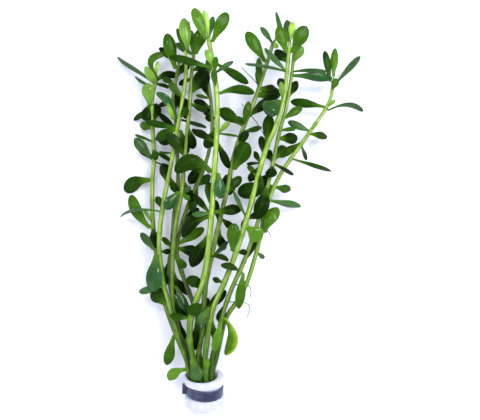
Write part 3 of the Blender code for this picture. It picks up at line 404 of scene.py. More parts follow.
ROOT_HAIRS = (
    RootHair(6, 185.0, ((30.0, 189.0, 26.0), (26.0, 193.0, 25.0), (22.2, 196.8, 24.0))),
    RootHair(6, 169.5, ((22.2, 175.2, 26.0),)),
    RootHair(6, 168.5, ((31.0, 164.4, 26.0), (35.4, 157.0, 24.0), (39.0, 149.0, 22.0))),
    RootHair(8, 66.0, ((26.4, 66.0, 16.0), (28.2, 63.0, 14.0), (27.6, 58.2, 12.0))),
    RootHair(8, 56.0, ((27.0, 54.0, 14.0), (25.8, 46.2, 12.0))),
    RootHair(7, 100.0, ((38.4, 98.4, 20.0), (40.2, 94.2, 18.0))),
)


def spread_at(level):
    """How far apart places at this level are for the eye, against places at the mean level."""
    return (EYE_LEVEL - level) / (EYE_LEVEL - MEAN_LEVEL)


def seen(across, along, level):
    """The point at this level that the eye sees at this place."""
    spread = spread_at(level)
    x = EYE_ACROSS + (across - EYE_ACROSS) * spread
    y = EYE_ALONG + (along - EYE_ALONG) * spread
    return Vector((x, y, level)) * MM


def seen_along(point):
    """How far along the bunch the eye sees a real point, in millimetres."""
    return EYE_ALONG + (point.y / MM - EYE_ALONG) / spread_at(point.z / MM)


def sleeve_frame():
    """Turns a point of the sleeve's own frame, with its axis along Z, to the bunch's frame."""
    stand = Matrix.Translation((0.0, 0.0, SLEEVE_AXIS_LEVEL * MM))
    return stand @ Matrix.Rotation(SLEEVE_PITCH, 4, "X") @ Matrix.Rotation(-math.pi / 2, 4, "X")


def in_sleeve(across, up, at):
    """A point of the sleeve, across and above its axis, at a distance along it from over the origin."""
    return sleeve_frame() @ (Vector((across, -up, at)) * MM)


def stem_points(stem):
    """The stem's route from its cut end to its tip, with the levels turned to real places."""
    across, up = stem.slot
    squeezed = (BORE_SHIFT + across * BORE_SQUEEZE, up * BORE_SQUEEZE)
    points = [
        in_sleeve(*squeezed, STEM_END_AT),
        in_sleeve(*squeezed, STEM_SETTLED_AT),
        in_sleeve(MOUTH_SHIFT + across, up, SLEEVE_MOUTH_AT),
    ]
    return points + [seen(*place) for place in stem.route]


def stem_radius(share, girth):
    """The stem's radius at this share of its route: thin in the sleeve, full past it, thinner at the tip."""
    full = 1 + (girth - 1) * min(share / STEM_FULL_AT, 1.0)
    return (STEM_RADIUS + (STEM_TIP_RADIUS - STEM_RADIUS) * share**2) * full * MM


def stem_at(stem, along):
    """The stem's middle, direction and radius where the eye sees it this far along the bunch."""
    points = stem_points(stem)
    for index, (start, end) in enumerate(zip(points, points[1:])):
        low, high = seen_along(start), seen_along(end)
        if along <= high:
            break
    share = (along - low) / (high - low)
    radius = stem_radius((index + share) / (len(points) - 1), stem.girth)
    return start.lerp(end, min(share, 1.0)), (end - start).normalized(), radius


class Fit(NamedTuple):
    """How a leaf's solid was set to clear its neighbours: the rise of its tip, the change of its arch, and
    how far it stands off the stem."""

    rise: float
    arch_change: float
    stand_off: float


class Life(NamedTuple):
    """How a dressed leaf departs from its plain solid: the wave of its margin, the twist of its blade, the
    nod of its tip and how much more it is cupped."""

    wave: float = 0.0
    waves: float = 1.0
    phase: float = 0.0
    twist: float = 0.0
    nod: float = 0.0
    cup: float = 0.0


def width_share(share, tip_fall):
    """How wide the leaf is at this share of its length: a narrow stalk, a broad blade and a round tip."""
    if share < LEAF_WIDEST_AT:
        return LEAF_STALK + (1 - LEAF_STALK) * math.sin(math.pi / 2 * share / LEAF_WIDEST_AT) ** 2
    return math.sqrt(1 - ((share - LEAF_WIDEST_AT) / (1 - LEAF_WIDEST_AT) * tip_fall) ** 2)


def sheet_of(stem, order, fit, rows, reaches, tip_fall, life=Life()):
    """The middle surface of a leaf as rows of points from stalk to tip, and where it meets its stem."""
    leaf = stem.leaves[order - 1]
    middle, grown, radius = stem_at(stem, leaf.base)
    level = middle.z / MM + leaf.lift + fit.rise
    tip = seen(leaf.across, leaf.along, max(level, FLOOR_LEVEL))
    way = tip - middle
    out = (way - grown * way.dot(grown)).normalized()
    base = middle + out * (radius + fit.stand_off * MM)
    chord = tip - base
    ahead = chord.normalized()
    side = UP.cross(ahead).normalized()
    above = ahead.cross(side)
    bow = above * (LEAF_ARCH + fit.arch_change) * chord.length + side * leaf.bend * chord.length
    roll = math.radians(leaf.roll) + ROLL_SWAY * math.sin(SWAY_RATE * order)
    sheet = []
    for share in rows:
        centre = base + chord * share + bow * 4 * share * (1 - share)
        run = (chord + bow * 4 * (1 - 2 * share)).normalized()
        left = above.cross(run).normalized()
        over = run.cross(left)
        turn = roll + life.twist * (share - 0.5)
        edge = left * math.cos(turn) + over * math.sin(turn)
        face = run.cross(edge)
        half = leaf.width / 2 * MM * width_share(share, tip_fall)
        centre -= face * life.nod * MM * share**4
        line = []
        for reach in reaches:
            ripple = life.wave * math.sin(math.tau * life.waves * share + life.phase + reach) * share
            fall = ((LEAF_CUP + life.cup) * half - ripple * MM) * reach**2
            point = centre + edge * reach * half - face * fall
            point.z = max(point.z, FLOOR_LEVEL * MM)
            line.append(point)
        sheet.append(line)
    return sheet, middle + out * (radius - STALK_SUNK * MM)


def tree_of(node):
    """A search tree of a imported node's solid."""
    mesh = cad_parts[node].data
    places = [vert.co.copy() for vert in mesh.vertices]
    return BVHTree.FromPolygons(places, [tuple(face.vertices) for face in mesh.polygons])


def fit_of(stem, order, solid):
    """The first of the ways to set a stem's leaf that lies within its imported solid."""
    leaf = stem.leaves[order - 1]
    broad = leaf.apart or leaf.width > BROAD_LEAF
    rows = BROAD_FIT_ROWS if broad else NARROW_FIT_ROWS
    for step in range(2 * SETTLE_STEPS + 1):
        rise = SETTLE_STEP * ((step + 1) // 2) * (1 if step % 2 else -1)
        for arch_change in ARCH_CHANGES:
            for stand_off in STAND_OFFS if leaf.apart else (-LEAF_SINK,):
                fit = Fit(rise, arch_change, stand_off)
                sheet, _ = sheet_of(stem, order, fit, rows, (-1.0, 1.0), SOLID_TIP_FALL)
                points = [point for line in sheet[1:] for point in line]
                if max(solid.find_nearest(point)[3] for point in points) < (SOLID_HALF + FIT_SLACK) * MM:
                    return fit
    raise RuntimeError(f"leaf {order} at {leaf.base} lies nowhere in its solid")


def grid_faces(rows, columns, around=False):
    """The faces of a grid of points that are numbered row by row. around closes each row on itself."""
    faces = []
    for row in range(rows - 1):
        here, above = row * columns, (row + 1) * columns
        for column in range(columns if around else columns - 1):
            after = (column + 1) % columns
            faces.append((here + column, here + after, above + after, above + column))
    return faces


def add_object(name, data):
    """A new object in the scene."""
    thing = bpy.data.objects.new(name, data)
    bpy.context.scene.collection.objects.link(thing)
    return thing


class Gathering:
    """The points and faces of one piece, with what its finishes read: grain runs across and along a part,
    underside marks a leaf's lower face, shade sets a part lighter or darker, as a random tone for a leaf and
    as painted shade for a stem, and joint marks the swellings of a stem."""

    def __init__(self):
        self.points = []
        self.faces = []
        self.slots = []
        self.grain = []
        self.marks = {"underside": [], "shade": [], "joint": []}

    def add(self, points, faces, grain=None, slot=0, shade=1.0, underside=None, joint=None):
        """Adds a part: grain has a pair for each corner of a face, underside and joint a number a point."""
        start = len(self.points)
        blank = [0.0] * len(points)
        self.points.extend(points)
        self.faces.extend(tuple(start + corner for corner in face) for face in faces)
        self.slots.extend([slot] * len(faces))
        self.grain.extend(grain or [(0.0, 0.0)] * sum(map(len, faces)))
        self.marks["underside"].extend(underside or blank)
        self.marks["shade"].extend([shade] * len(points))
        self.marks["joint"].extend(joint or blank)

    def piece(self, name, materials, smoothing=1):
        """The object made of what was gathered."""
        mesh = bpy.data.meshes.new(name)
        mesh.from_pydata(self.points, [], self.faces)
        for material in materials:
            mesh.materials.append(material)
        mesh.polygons.foreach_set("material_index", self.slots)
        layer = mesh.uv_layers.new(name="grain")
        layer.data.foreach_set("uv", [number for pair in self.grain for number in pair])
        for title, values in self.marks.items():
            mesh.attributes.new(title, "FLOAT", "POINT").data.foreach_set("value", values)
        mesh.shade_smooth()
        thing = add_object(name, mesh)
        if smoothing:
            rounding = thing.modifiers.new("rounding", "SUBSURF")
            rounding.levels = smoothing
            rounding.render_levels = smoothing
        return thing


def add_blade(gathering, sheet, shares, thickness, vein_depth, slot, shade):
    """A fleshy blade round its middle surface: thick at its midrib, thin at its margin, grooved on top."""
    middle = np.array([[tuple(point) for point in line] for line in sheet])
    face = np.cross(np.gradient(middle, axis=0), np.gradient(middle, axis=1))
    face /= np.linalg.norm(face, axis=2, keepdims=True)
    reach = np.array(BLADE_REACHES)[None, :, None]
    share = np.array(shares)[:, None, None]
    along = 1 + STALK_THICKER * (1 - share) ** 3 - TIP_THINNER * share**6
    half = thickness / 2 * MM * (1 - MARGIN_THINNER * reach**2) * along
    groove = vein_depth * MM * np.exp(-((reach / GROOVE_REACH) ** 2)) * (1 - share) ** 0.5
    upper = (middle + face * (half - groove)).reshape(-1, 3)
    lower = (middle - face * (half + groove * GROOVE_BELOW)).reshape(-1, 3)
    rows, columns = middle.shape[:2]
    total = rows * columns
    faces = []
    for quad in grid_faces(rows, columns):
        faces += [quad[::-1], tuple(total + spot for spot in quad)]
    rim = [row * columns for row in range(rows)]
    rim += range((rows - 1) * columns + 1, total)
    rim += [row * columns + columns - 1 for row in range(rows - 2, -1, -1)]
    rim += range(columns - 2, 0, -1)
    for start, end in zip(rim, rim[1:] + rim[:1]):
        faces.append((start, end, total + end, total + start))
    spots = [(column / (columns - 1), max(along, 0.0)) for along in shares for column in range(columns)]
    grain = [spots[corner % total] for quad in faces for corner in quad]
    points = [tuple(point) for point in np.concatenate((upper, lower))]
    gathering.add(points, faces, grain, slot, shade, underside=[0.0] * total + [1.0] * total)


def smooth_route(route):
    """Points a ring's spacing apart on a smooth line through the route, each with its share of the way."""
    slopes = []
    for index in range(len(route)):
        before = route[max(index - 1, 0)]
        after = route[min(index + 1, len(route) - 1)]
        slopes.append((after - before).normalized())
    points, shares = [], []
    for index, (start, end) in enumerate(zip(route, route[1:])):
        length = (end - start).length
        steps = max(round(length / (RING_SPACING * MM)), 1)
        for step in range(steps):
            t = step / steps
            bend_in = slopes[index] * length * (t**3 - 2 * t**2 + t)
            bend_out = slopes[index + 1] * length * (t**3 - t**2)
            straight = start * (2 * t**3 - 3 * t**2 + 1) + end * (3 * t**2 - 2 * t**3)
            points.append(straight + bend_in + bend_out)
            shares.append((index + t) / (len(route) - 1))
    return points + [route[-1]], shares + [1.0]


def add_tube(gathering, points, radius_at, sides, shade=1.0, joints=()):
    """A tube with closed ends along these points. radius_at gives its radius for a ring and an angle."""
    rings, grain = [], []
    run = 0.0
    for index, point in enumerate(points):
        ahead = (points[min(index + 1, len(points) - 1)] - points[max(index - 1, 0)]).normalized()
        side = ahead.cross(UP).normalized()
        over = side.cross(ahead)
        for spoke in range(sides):
            angle = math.tau * spoke / sides - math.pi / 2
            reach = side * math.cos(angle) + over * math.sin(angle)
            rings.append(tuple(point + reach * radius_at(index, angle)))
        if index:
            length = (point - points[index - 1]).length / (GRAIN_LENGTH * MM)
            for spoke in range(sides):
                near, far = spoke / sides, (spoke + 1) / sides
                grain += [(near, run), (far, run), (far, run + length), (near, run + length)]
            run += length
    last = (len(points) - 1) * sides
    faces = grid_faces(len(points), sides, around=True)
    faces += [tuple(reversed(range(sides))), tuple(range(last, last + sides))]
    grain += [(0.5, 0.0)] * sides + [(0.5, run)] * sides
    gathering.add(rings, faces, grain, shade=shade, joint=[mark for mark in joints for _ in range(sides)])


def joints_of(stem):
    """Where the stem's joints are, as the eye sees them along it: at its leaves, and between far ones."""
    places = []
    for base in sorted(leaf.base for leaf in stem.leaves):
        if not places or base - places[-1] > JOINT_LEAST:
            places.append(base)
    between = []
    for low, high in zip(places, places[1:]):
        gaps = round((high - low) / JOINT_SPACING)
        between += [low + (high - low) * step / gaps for step in range(1, gaps)]
    return places + between


def add_stem(gathering, stem, settings):
    """A fleshy stem: faintly ribbed, swollen at its joints, cut square below and tapered to its bud."""
    points, shares = smooth_route(stem_points(stem))
    places = joints_of(stem)
    joints = []
    for point in points:
        nearest = min(abs(seen_along(point) - place) for place in places)
        joints.append(math.exp(-((nearest / JOINT_LENGTH) ** 2)))
    total = (len(points) - 1) * RING_SPACING

    def radius_at(index, angle):
        radius = stem_radius(shares[index], stem.girth) * (1 + settings.joint_swelling * joints[index])
        radius *= 1 + settings.rib_depth * math.cos(STEM_RIBS * angle + RIB_TURN * shares[index])
        left = total - index * RING_SPACING
        if left < TIP_TAPER:
            radius *= math.sqrt(max(1 - (1 - left / TIP_TAPER) ** 2, TIP_BLUNTNESS))
        return radius

    add_tube(gathering, points, radius_at, STEM_SIDES, stem.shade, joints)


class Recipe:
    """Writes the nodes of one finish. Most calls add nodes and return an output."""

    def __init__(self, name):
        self.material = bpy.data.materials.new(name)
        self.material.use_nodes = True
        self.tree = self.material.node_tree
        self.shader = self.tree.nodes["Principled BSDF"]
        self.count = 0

    def node(self, kind, inputs=(), **settings):
        """A node of this kind, with its settings and what its inputs are given or linked to."""
        made = self.tree.nodes.new(kind)
        column, row = divmod(self.count, NODES_IN_COLUMN)
        made.location = (-NODE_WIDTH * (1 + column), COLUMN_TOP - NODE_HEIGHT * row)
        self.count += 1
        for title, value in settings.items():
            setattr(made, title, value)
        for socket, value in inputs:
            self.give(made.inputs[socket], value)
        return made

    def give(self, socket, value):
        """Links an output to the socket, or sets the value on it."""
        if isinstance(value, bpy.types.NodeSocket):
            self.tree.links.new(value, socket)
        else:
            socket.default_value = value

    def grain(self):
        """The part's own coordinates, and how far across and along the part they are."""
        uv = self.node("ShaderNodeUVMap", uv_map="grain").outputs["UV"]
        parts = self.node("ShaderNodeSeparateXYZ", [(0, uv)]).outputs
        return uv, parts["X"], parts["Y"]

    def drawn(self, grain, across, along):
        """The part's own coordinates, drawn out along it."""
        inputs = [("Vector", grain), ("Scale", (across, along, 1.0))]
        return self.node("ShaderNodeMapping", inputs).outputs[0]

    def mark(self, title):
        """A number that the mesh holds under this name."""
        return self.node("ShaderNodeAttribute", attribute_name=title).outputs["Fac"]

    def noise(self, scale, detail=3.0, roughness=0.5, where=None):
        """Noise on the object's own coordinates, or on others."""
        where = where or self.node("ShaderNodeTexCoord").outputs["Object"]
        inputs = [("Vector", where), ("Scale", scale), ("Detail", detail), ("Roughness", roughness)]
        return self.node("ShaderNodeTexNoise", inputs).outputs["Fac"]

    def span(self, value, low, high, first=0.0, last=1.0):
        """The value's way from low to high, as a number from first to last."""
        inputs = [(0, value), (1, low), (2, high), (3, first), (4, last)]
        return self.node("ShaderNodeMapRange", inputs).outputs[0]

    def math(self, operation, first, second=0.0):
        """A sum on one or two values."""
        return self.node("ShaderNodeMath", [(0, first), (1, second)], operation=operation).outputs[0]

    def times(self, first, second):
        """One value times another."""
        return self.math("MULTIPLY", first, second)

    def off_middle(self, across):
        """How far a point is from the middle line of its part."""
        return self.math("ABSOLUTE", self.math("SUBTRACT", across, 0.5))

    def blend(self, share, first, second, how="MIX"):
        """A mix of two colours."""
        inputs = [(0, share), (6, first), (7, second)]
        return self.node("ShaderNodeMix", inputs, data_type="RGBA", blend_type=how).outputs[2]

    def layers(self, body, *coats):
        """A colour with others over it, each given as (share, colour)."""
        for share, tint in coats:
            body = self.blend(share, body, rgba(tint))
        return body

    def shaded(self, body):
        """A colour made lighter or darker as its part is: a leaf by its random tone, a stem by its painted
        shade.
        """
        return self.blend(1.0, body, self.mark("shade"), "MULTIPLY")

    def relief(self, height, depth, under=None):
        """A bump of this depth in metres, over another."""
        inputs = [("Height", height), ("Distance", depth), ("Strength", 1.0)]
        if under:
            inputs.append(("Normal", under))
        return self.node("ShaderNodeBump", inputs).outputs[0]

    def finish(self, **sockets):
        """Gives the shader its values, and returns the material."""
        for title, value in sockets.items():
            self.give(self.shader.inputs[title.replace("_", " ")], value)
        return self.material


def rgba(colour, strength=1.0):
    """A colour with an alpha of one, made lighter or darker."""
    return (*(channel * strength for channel in colour[:3]), 1.0)


def leaf_material(name, look, settings):
    """Fleshy leaf green: mottled, with faint veins and a paler midrib, stalk, margin and underside."""
    recipe = Recipe(name)
    colour = getattr(settings, look)
    _, across, along = recipe.grain()
    off_middle = recipe.off_middle(across)
    ridge = recipe.span(off_middle, 0.0, 0.05, 1.0, 0.0)
    midrib = recipe.times(ridge, recipe.span(along, 0.2, 0.95, 1.0, 0.1))
    slant = recipe.math("SUBTRACT", recipe.times(along, VEINS_ALONG), recipe.times(off_middle, VEINS_SLANT))
    veins = recipe.span(recipe.math("SINE", slant), 0.75, 1.0)
    patches = recipe.noise(scale=160.0)
    mottle = recipe.noise(scale=700.0, detail=4.0, roughness=0.6)
    body = recipe.layers(
        recipe.blend(recipe.span(patches, 0.3, 0.7), rgba(colour, 0.72), rgba(colour, 1.25)),
        (recipe.span(mottle, 0.3, 0.75, 0.0, 0.3), rgba(colour, 1.6)),
        (recipe.times(midrib, 0.2), settings.vein_colour),
        (recipe.times(veins, 0.04), settings.vein_colour),
        (recipe.span(off_middle, 0.45, 0.5, 0.0, 0.12), settings.vein_colour),
        (recipe.span(along, 0.0, 0.38, 0.75, 0.0), settings.stalk_colour),
        (recipe.span(along, 0.7, 1.0, 0.0, 0.4), rgba(colour, 0.5)),
        (recipe.times(recipe.mark("underside"), 0.25), settings.underside_colour),
    )
    if look == "turning":
        side = recipe.math("ADD", across, recipe.times(patches, 0.7))
        body = recipe.layers(
            body,
            (recipe.span(side, 0.8, 1.25, 0.0, 0.9), settings.turning_colour),
            (recipe.span(along, 0.93, 1.0, 0.0, 0.8), settings.spot_colour),
        )
    if look == "spotted":
        spots = recipe.noise(scale=220.0, detail=1.0)
        body = recipe.layers(body, (recipe.span(spots, 0.6, 0.66, 0.0, 0.85), settings.spot_colour))
    roughness = recipe.span(mottle, 0.3, 0.7, settings.roughness - 0.07, settings.roughness + 0.1)
    pits = recipe.relief(recipe.noise(scale=2600.0, detail=2.0), 0.00004)
    grooves = recipe.math("ADD", recipe.times(midrib, -1.0), recipe.times(veins, -0.3))
    return recipe.finish(
        Base_Color=recipe.shaded(body),
        Roughness=roughness,
        Normal=recipe.relief(grooves, 0.00012, pits),
        Specular_IOR_Level=0.06,
        Specular_Tint=SHEEN_TINT,
        Coat_Weight=settings.coat * WETNESS.get(look, DRY),
        Coat_Roughness=0.12,
    )


def stem_material(settings):
    """Bright fleshy stem: duller towards the sleeve, with pale lengthwise streaks that are partly painted
    highlight, green and ringed at its joints, and painted shade down its sides and back.
    """
    recipe = Recipe("fleshy stem")
    grain, around, along = recipe.grain()
    joint = recipe.mark("joint")
    streaks = recipe.noise(1.0, 4.0, 0.6, recipe.drawn(grain, 16.0, 5.0))
    patches = recipe.noise(scale=110.0, detail=2.0)
    height = recipe.span(along, settings.dull_up_to / GRAIN_LENGTH, settings.bright_from / GRAIN_LENGTH)
    # Pale lengthwise streaks, partly painted highlight stripes, strongest towards the tip
    pale = recipe.times(recipe.span(streaks, 0.45, 0.66, 0.0, 0.75), recipe.span(height, 0.0, 0.6, 0.15, 1.0))
    body = recipe.layers(
        recipe.blend(height, rgba(settings.lower_colour), rgba(settings.upper_colour)),
        (pale, settings.streak_and_highlight_colour),
        (recipe.span(patches, 0.42, 0.72, 0.0, 0.45), settings.lower_colour),
        # Painted shade: the sides and back are darker than the top, by how far round the stem a point lies
        (recipe.span(recipe.off_middle(around), 0.07, 0.2, 0.0, 0.95), settings.side_shade_colour),
        (recipe.span(joint, 0.1, 0.8, 0.0, 0.45), settings.joint_colour),
        (recipe.span(joint, 0.88, 0.97, 0.0, 0.6), settings.ring_colour),
    )
    fine = recipe.relief(recipe.noise(scale=1800.0, detail=2.0), 0.00003)
    return recipe.finish(
        Base_Color=recipe.shaded(body),
        Roughness=recipe.span(streaks, 0.3, 0.7, 0.3, 0.48),
        Normal=recipe.relief(streaks, 0.00025, fine),
        Specular_IOR_Level=0.1,
        Coat_Weight=0.12,
        Coat_Roughness=0.12,
    )


def root_material(settings):
    """Thin dark root hairs, paler towards their tips."""
    recipe = Recipe("root hair")
    _, _, along = recipe.grain()
    body = recipe.blend(recipe.span(along, 0.0, 0.2), rgba(settings.colour), rgba(settings.tip_colour))
    specks = recipe.span(recipe.noise(scale=900.0, detail=2.0), 0.3, 0.7, 0.0, 0.5)
    body = recipe.layers(body, (specks, rgba(settings.colour, 0.6)))
    return recipe.finish(Base_Color=body, Roughness=0.6)


def foam_material(settings):
    """Soft white foam: fine fibres and cells, with painted cool shade in its hollows."""
    recipe = Recipe("soft white foam")
    cells = recipe.noise(scale=1500.0, detail=4.0, roughness=0.65)
    tufts = recipe.noise(scale=260.0, roughness=0.6)
    # Painted shade: the hollows of the tufts and cells take the cooler, darker hollow colour
    body = recipe.layers(
        recipe.blend(recipe.span(tufts, 0.35, 0.65), rgba(settings.shade_colour), rgba(settings.colour)),
        (recipe.span(cells, 0.3, 0.6, 0.35, 0.0), settings.shade_colour),
    )
    return recipe.finish(
        Base_Color=body,
        Roughness=0.95,
        Normal=recipe.relief(tufts, 0.0006, recipe.relief(cells, 0.0002)),
        Sheen_Weight=0.3,
        Subsurface_Weight=0.15,
        Subsurface_Scale=0.002,
    )


def strip_material(settings):
    """Soft slate-grey metal: satin, drawn along its length, with dull blotches and paler worn edges."""
    recipe = Recipe("soft slate metal")
    grain, across, _ = recipe.grain()
    lines = recipe.noise(1.0, 5.0, 0.6, recipe.drawn(grain, 30.0, 4.0))
    blotches = recipe.noise(scale=330.0, roughness=0.6)
    body = recipe.layers(
        recipe.blend(recipe.span(blotches, 0.35, 0.65), rgba(settings.dark_colour), rgba(settings.colour)),
        (recipe.span(lines, 0.4, 0.75, 0.0, 0.4), settings.worn_colour),
        (recipe.span(recipe.off_middle(across), 0.4, 0.5, 0.0, 0.5), settings.worn_colour),
    )
    return recipe.finish(
        Base_Color=body,
        Roughness=recipe.span(blotches, 0.3, 0.7, 0.26, 0.42),
        Normal=recipe.relief(lines, 0.00006, recipe.relief(blotches, 0.0003)),
        Metallic=0.75,
    )


def colour(title, text, default):
    """A colour that a user may change."""
    return FloatVectorProperty(
        name=title, description=text, subtype="COLOR", size=3, min=0.0, max=1.0, default=default
    )


def amount(title, text, default, **limits):
    """A number that a user may change."""
    return FloatProperty(name=title, description=text, default=default, **limits)


class LeafSettings(bpy.types.PropertyGroup):
    """Sizes and greens of the leaves."""

    thickness: amount("Thickness", "Of a blade at its midrib, in mm", 0.95, min=0.3)
    vein_depth: amount("Midrib depth", "Of the groove on top, in mm", 0.16, min=0.0)
    wave: amount("Margin wave", "Most that a margin waves, in mm", 0.7, min=0.0)
    twist: amount("Twist", "Most that a blade twists", 0.42, subtype="ANGLE")
    nod: amount("Nod", "Most that a tip nods, in mm", 1.0)
    roughness: amount("Roughness", "Of the blade", 0.36, min=0.0, max=1.0)
    coat: amount("Gloss", "Full gloss, of which each look has a share", 0.6, min=0.0, max=1.0)
    young: colour("Young", "Green of the buds", (0.26, 0.44, 0.06))
    light: colour("Light", "Green of pale leaves", (0.14, 0.29, 0.03))
    bright: colour("Bright", "Green of leaves in full light", (0.056, 0.15, 0.003))
    mid: colour("Mid", "Middle green", (0.027, 0.082, 0.0012))
    dark: colour("Dark", "Green of most leaves", (0.0095, 0.036, 0.0005))
    # Painted shade: a darker copy of the leaf green for the leaves deep inside the bunch
    deep: colour("Deep", "Green of the leaves inside the bunch", (0.003, 0.012, 0.0003))
    # Painted sheen: a paler, greyer green that stands for light glancing off these leaves
    grey: colour("Grey", "Green of dulled leaves", (0.032, 0.082, 0.02))
    # Partly painted sheen: a faint blue-grey cast in this green stands for the sheen on wet leaves, which
    # their coat also gives
    glossy: colour("Glossy", "Green of wet leaves", (0.011, 0.058, 0.009))
    turning: colour("Turning", "Green of the leaf that turns yellow", (0.07, 0.16, 0.005))
    spotted: colour("Spotted", "Green of the spotted leaf", (0.06, 0.14, 0.03))
    vein_colour: colour("Veins", "Of the midrib and side veins", (0.10, 0.22, 0.025))
    stalk_colour: colour("Stalk", "Of the foot of a leaf", (0.07, 0.17, 0.008))
    underside_colour: colour("Underside", "Of the lower face", (0.035, 0.09, 0.012))
    turning_colour: colour("Yellow", "Of the yellow patch", (0.24, 0.38, 0.025))
    spot_colour: colour("Spots", "Of dead spots and tips", (0.07, 0.07, 0.01))


class StemSettings(bpy.types.PropertyGroup):
    """Shape and greens of the stems."""

    joint_swelling: amount("Joint swelling", "Share of the radius", 0.17, min=0.0)
    rib_depth: amount("Rib depth", "Share of the radius", 0.035, min=0.0)
    dull_up_to: amount("Dull up to", "Length that stays dull, in mm", 35.0)
    bright_from: amount("Bright from", "Length from which it is bright, in mm", 125.0)
    lower_colour: colour("Lower", "Green next to the sleeve", (0.03, 0.10, 0.001))
    upper_colour: colour("Upper", "Green towards the tip", (0.20, 0.34, 0.028))
    # Pale streaks, partly a painted highlight along the stems
    streak_and_highlight_colour: colour("Streaks", "Of the pale streaks", (0.56, 0.72, 0.22))
    # Painted shade: the colour that darkens a stem's sides and back, away from its lit top
    side_shade_colour: colour("Sides", "Of the sides and back", (0.025, 0.075, 0.002))
    joint_colour: colour("Joints", "Round a joint", (0.12, 0.24, 0.012))
    ring_colour: colour("Ring", "Of the scar round a joint", (0.05, 0.12, 0.005))


class RootSettings(bpy.types.PropertyGroup):
    """Root hairs."""

    radius: amount("Radius", "In mm", 0.36, min=0.05)
    colour: colour("Colour", "At the stem", (0.015, 0.03, 0.012))
    tip_colour: colour("Tip", "At the tip", (0.07, 0.10, 0.05))


class SleeveSettings(bpy.types.PropertyGroup):
    """The foam sleeve."""

    lump: amount("Lumps", "Height of its soft lumps, in mm", 0.35, min=0.0)
    fibre: amount("Fibres", "Height of its fibres, in mm", 0.12, min=0.0)
    rings: IntProperty(name="Rings", description="Rings along the outside", default=64, min=16)
    sides: IntProperty(name="Sides", description="Points round a ring", default=128, min=24)
    colour: colour("Colour", "Of the foam", (0.60, 0.62, 0.68))
    # Painted shade in the foam's hollows
    shade_colour: colour("Hollows", "Of its hollows", (0.48, 0.50, 0.61))


class StripSettings(bpy.types.PropertyGroup):
    """The metal strip."""

    steps: IntProperty(name="Steps", description="Points along the strip", default=96, min=24)
    dent: amount("Dents", "Depth of its dents, in mm", 0.12, min=0.0)
    colour: colour("Colour", "Of the metal", (0.055, 0.06, 0.115))
    dark_colour: colour("Blotches", "Of dull blotches", (0.025, 0.028, 0.06))
    worn_colour: colour("Worn", "Of worn edges", (0.12, 0.13, 0.22))


class StageSettings(bpy.types.PropertyGroup):
    """Floor, light and camera."""

    floor_colour: colour("Floor", "Of the floor", (0.89, 0.91, 0.97))
    key_power: amount("Key", "Power of the large light", 8.0, min=0.0, unit="POWER")
    fill_power: amount("Fill", "Power of the side light", 2.0, min=0.0, unit="POWER")
    glint_power: amount("Glint", "Power of the small light", 1.2, min=0.0, unit="POWER")
    sky: amount("Sky", "Strength of the light all round", 1.15, min=0.0)
    sky_colour: colour("Sky colour", "Of the light all round", (0.88, 0.91, 1.0))


class BunchSettings(bpy.types.PropertyGroup):
    """All that a user may change."""

    leaves: PointerProperty(type=LeafSettings)
    stems: PointerProperty(type=StemSettings)
    roots: PointerProperty(type=RootSettings)
    sleeve: PointerProperty(type=SleeveSettings)
    strip: PointerProperty(type=StripSettings)
    stage: PointerProperty(type=StageSettings)


def leaf_materials(settings):
    """The leaf finishes by the name of their look, made once."""
    made = {}
    for look in LOOKS:
        name = f"{look} leaf"
        made[look] = bpy.data.materials.get(name) or leaf_material(name, look, settings)
    return made


def dress_leaf(gathering, number, order, solid, settings, slot=0):
    """Adds one leaf of a stem, set as its solid is and given life of its own."""
    stem = STEMS[number - 1]
    leaf = stem.leaves[order - 1]
    chance = random.Random(SEEDS_PER_STEM * number + order)
    fit = fit_of(stem, order, solid)
    scale = min(leaf.width / FULL_WIDTH, 1.0)
    life = Life(
        wave=settings.wave * scale * chance.uniform(*WAVE_SHARES),
        waves=chance.uniform(*WAVE_COUNTS),
        phase=chance.uniform(0.0, math.tau),
        twist=settings.twist * chance.uniform(-1.0, 1.0),
        nod=settings.nod * scale * chance.uniform(*NOD_SHARES),
        cup=chance.uniform(*CUP_CHANGES),
    )
    sheet, foot = sheet_of(stem, order, fit, BLADE_ROWS, BLADE_REACHES, BLADE_TIP_FALL, life)
    shares = list(BLADE_ROWS)
    if leaf.apart:
        start = sheet[0][len(BLADE_REACHES) // 2]
        sheet.insert(0, [point + (foot - start) for point in sheet[0]])
        shares.insert(0, STALK_ROW)
    thickness = settings.thickness * (SMALL_THICKNESS + (1 - SMALL_THICKNESS) * scale)
    shade = chance.uniform(*LEAF_SHADES)
    add_blade(gathering, sheet, shares, thickness, settings.vein_depth * scale, slot, shade)


def keep(piece, slot, *nodes):
    """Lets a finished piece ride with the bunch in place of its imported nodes."""
    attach(piece, BODY)
    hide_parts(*nodes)


class BACOPA_OT_leaves(bpy.types.Operator):
    """Dress the large leaves, each in place of its own solid"""

    bl_idname = "bacopa.leaves"
    bl_label = "Large Leaves"

    def execute(self, context):
        settings = context.scene.bacopa.leaves
        materials = leaf_materials(settings)
        for number, stem in enumerate(STEMS, 1):
            for order, leaf in enumerate(stem.leaves, 1):
                if leaf.apart:
                    node = f"stem_{number:02d}_leaf_{order:02d}"
                    gathering = Gathering()
                    dress_leaf(gathering, number, order, tree_of(node), settings)
                    piece = gathering.piece(f"leaf_{number:02d}_{order:02d}", [materials[leaf.look]])
                    keep(piece, "leaf", node)
        return {"FINISHED"}


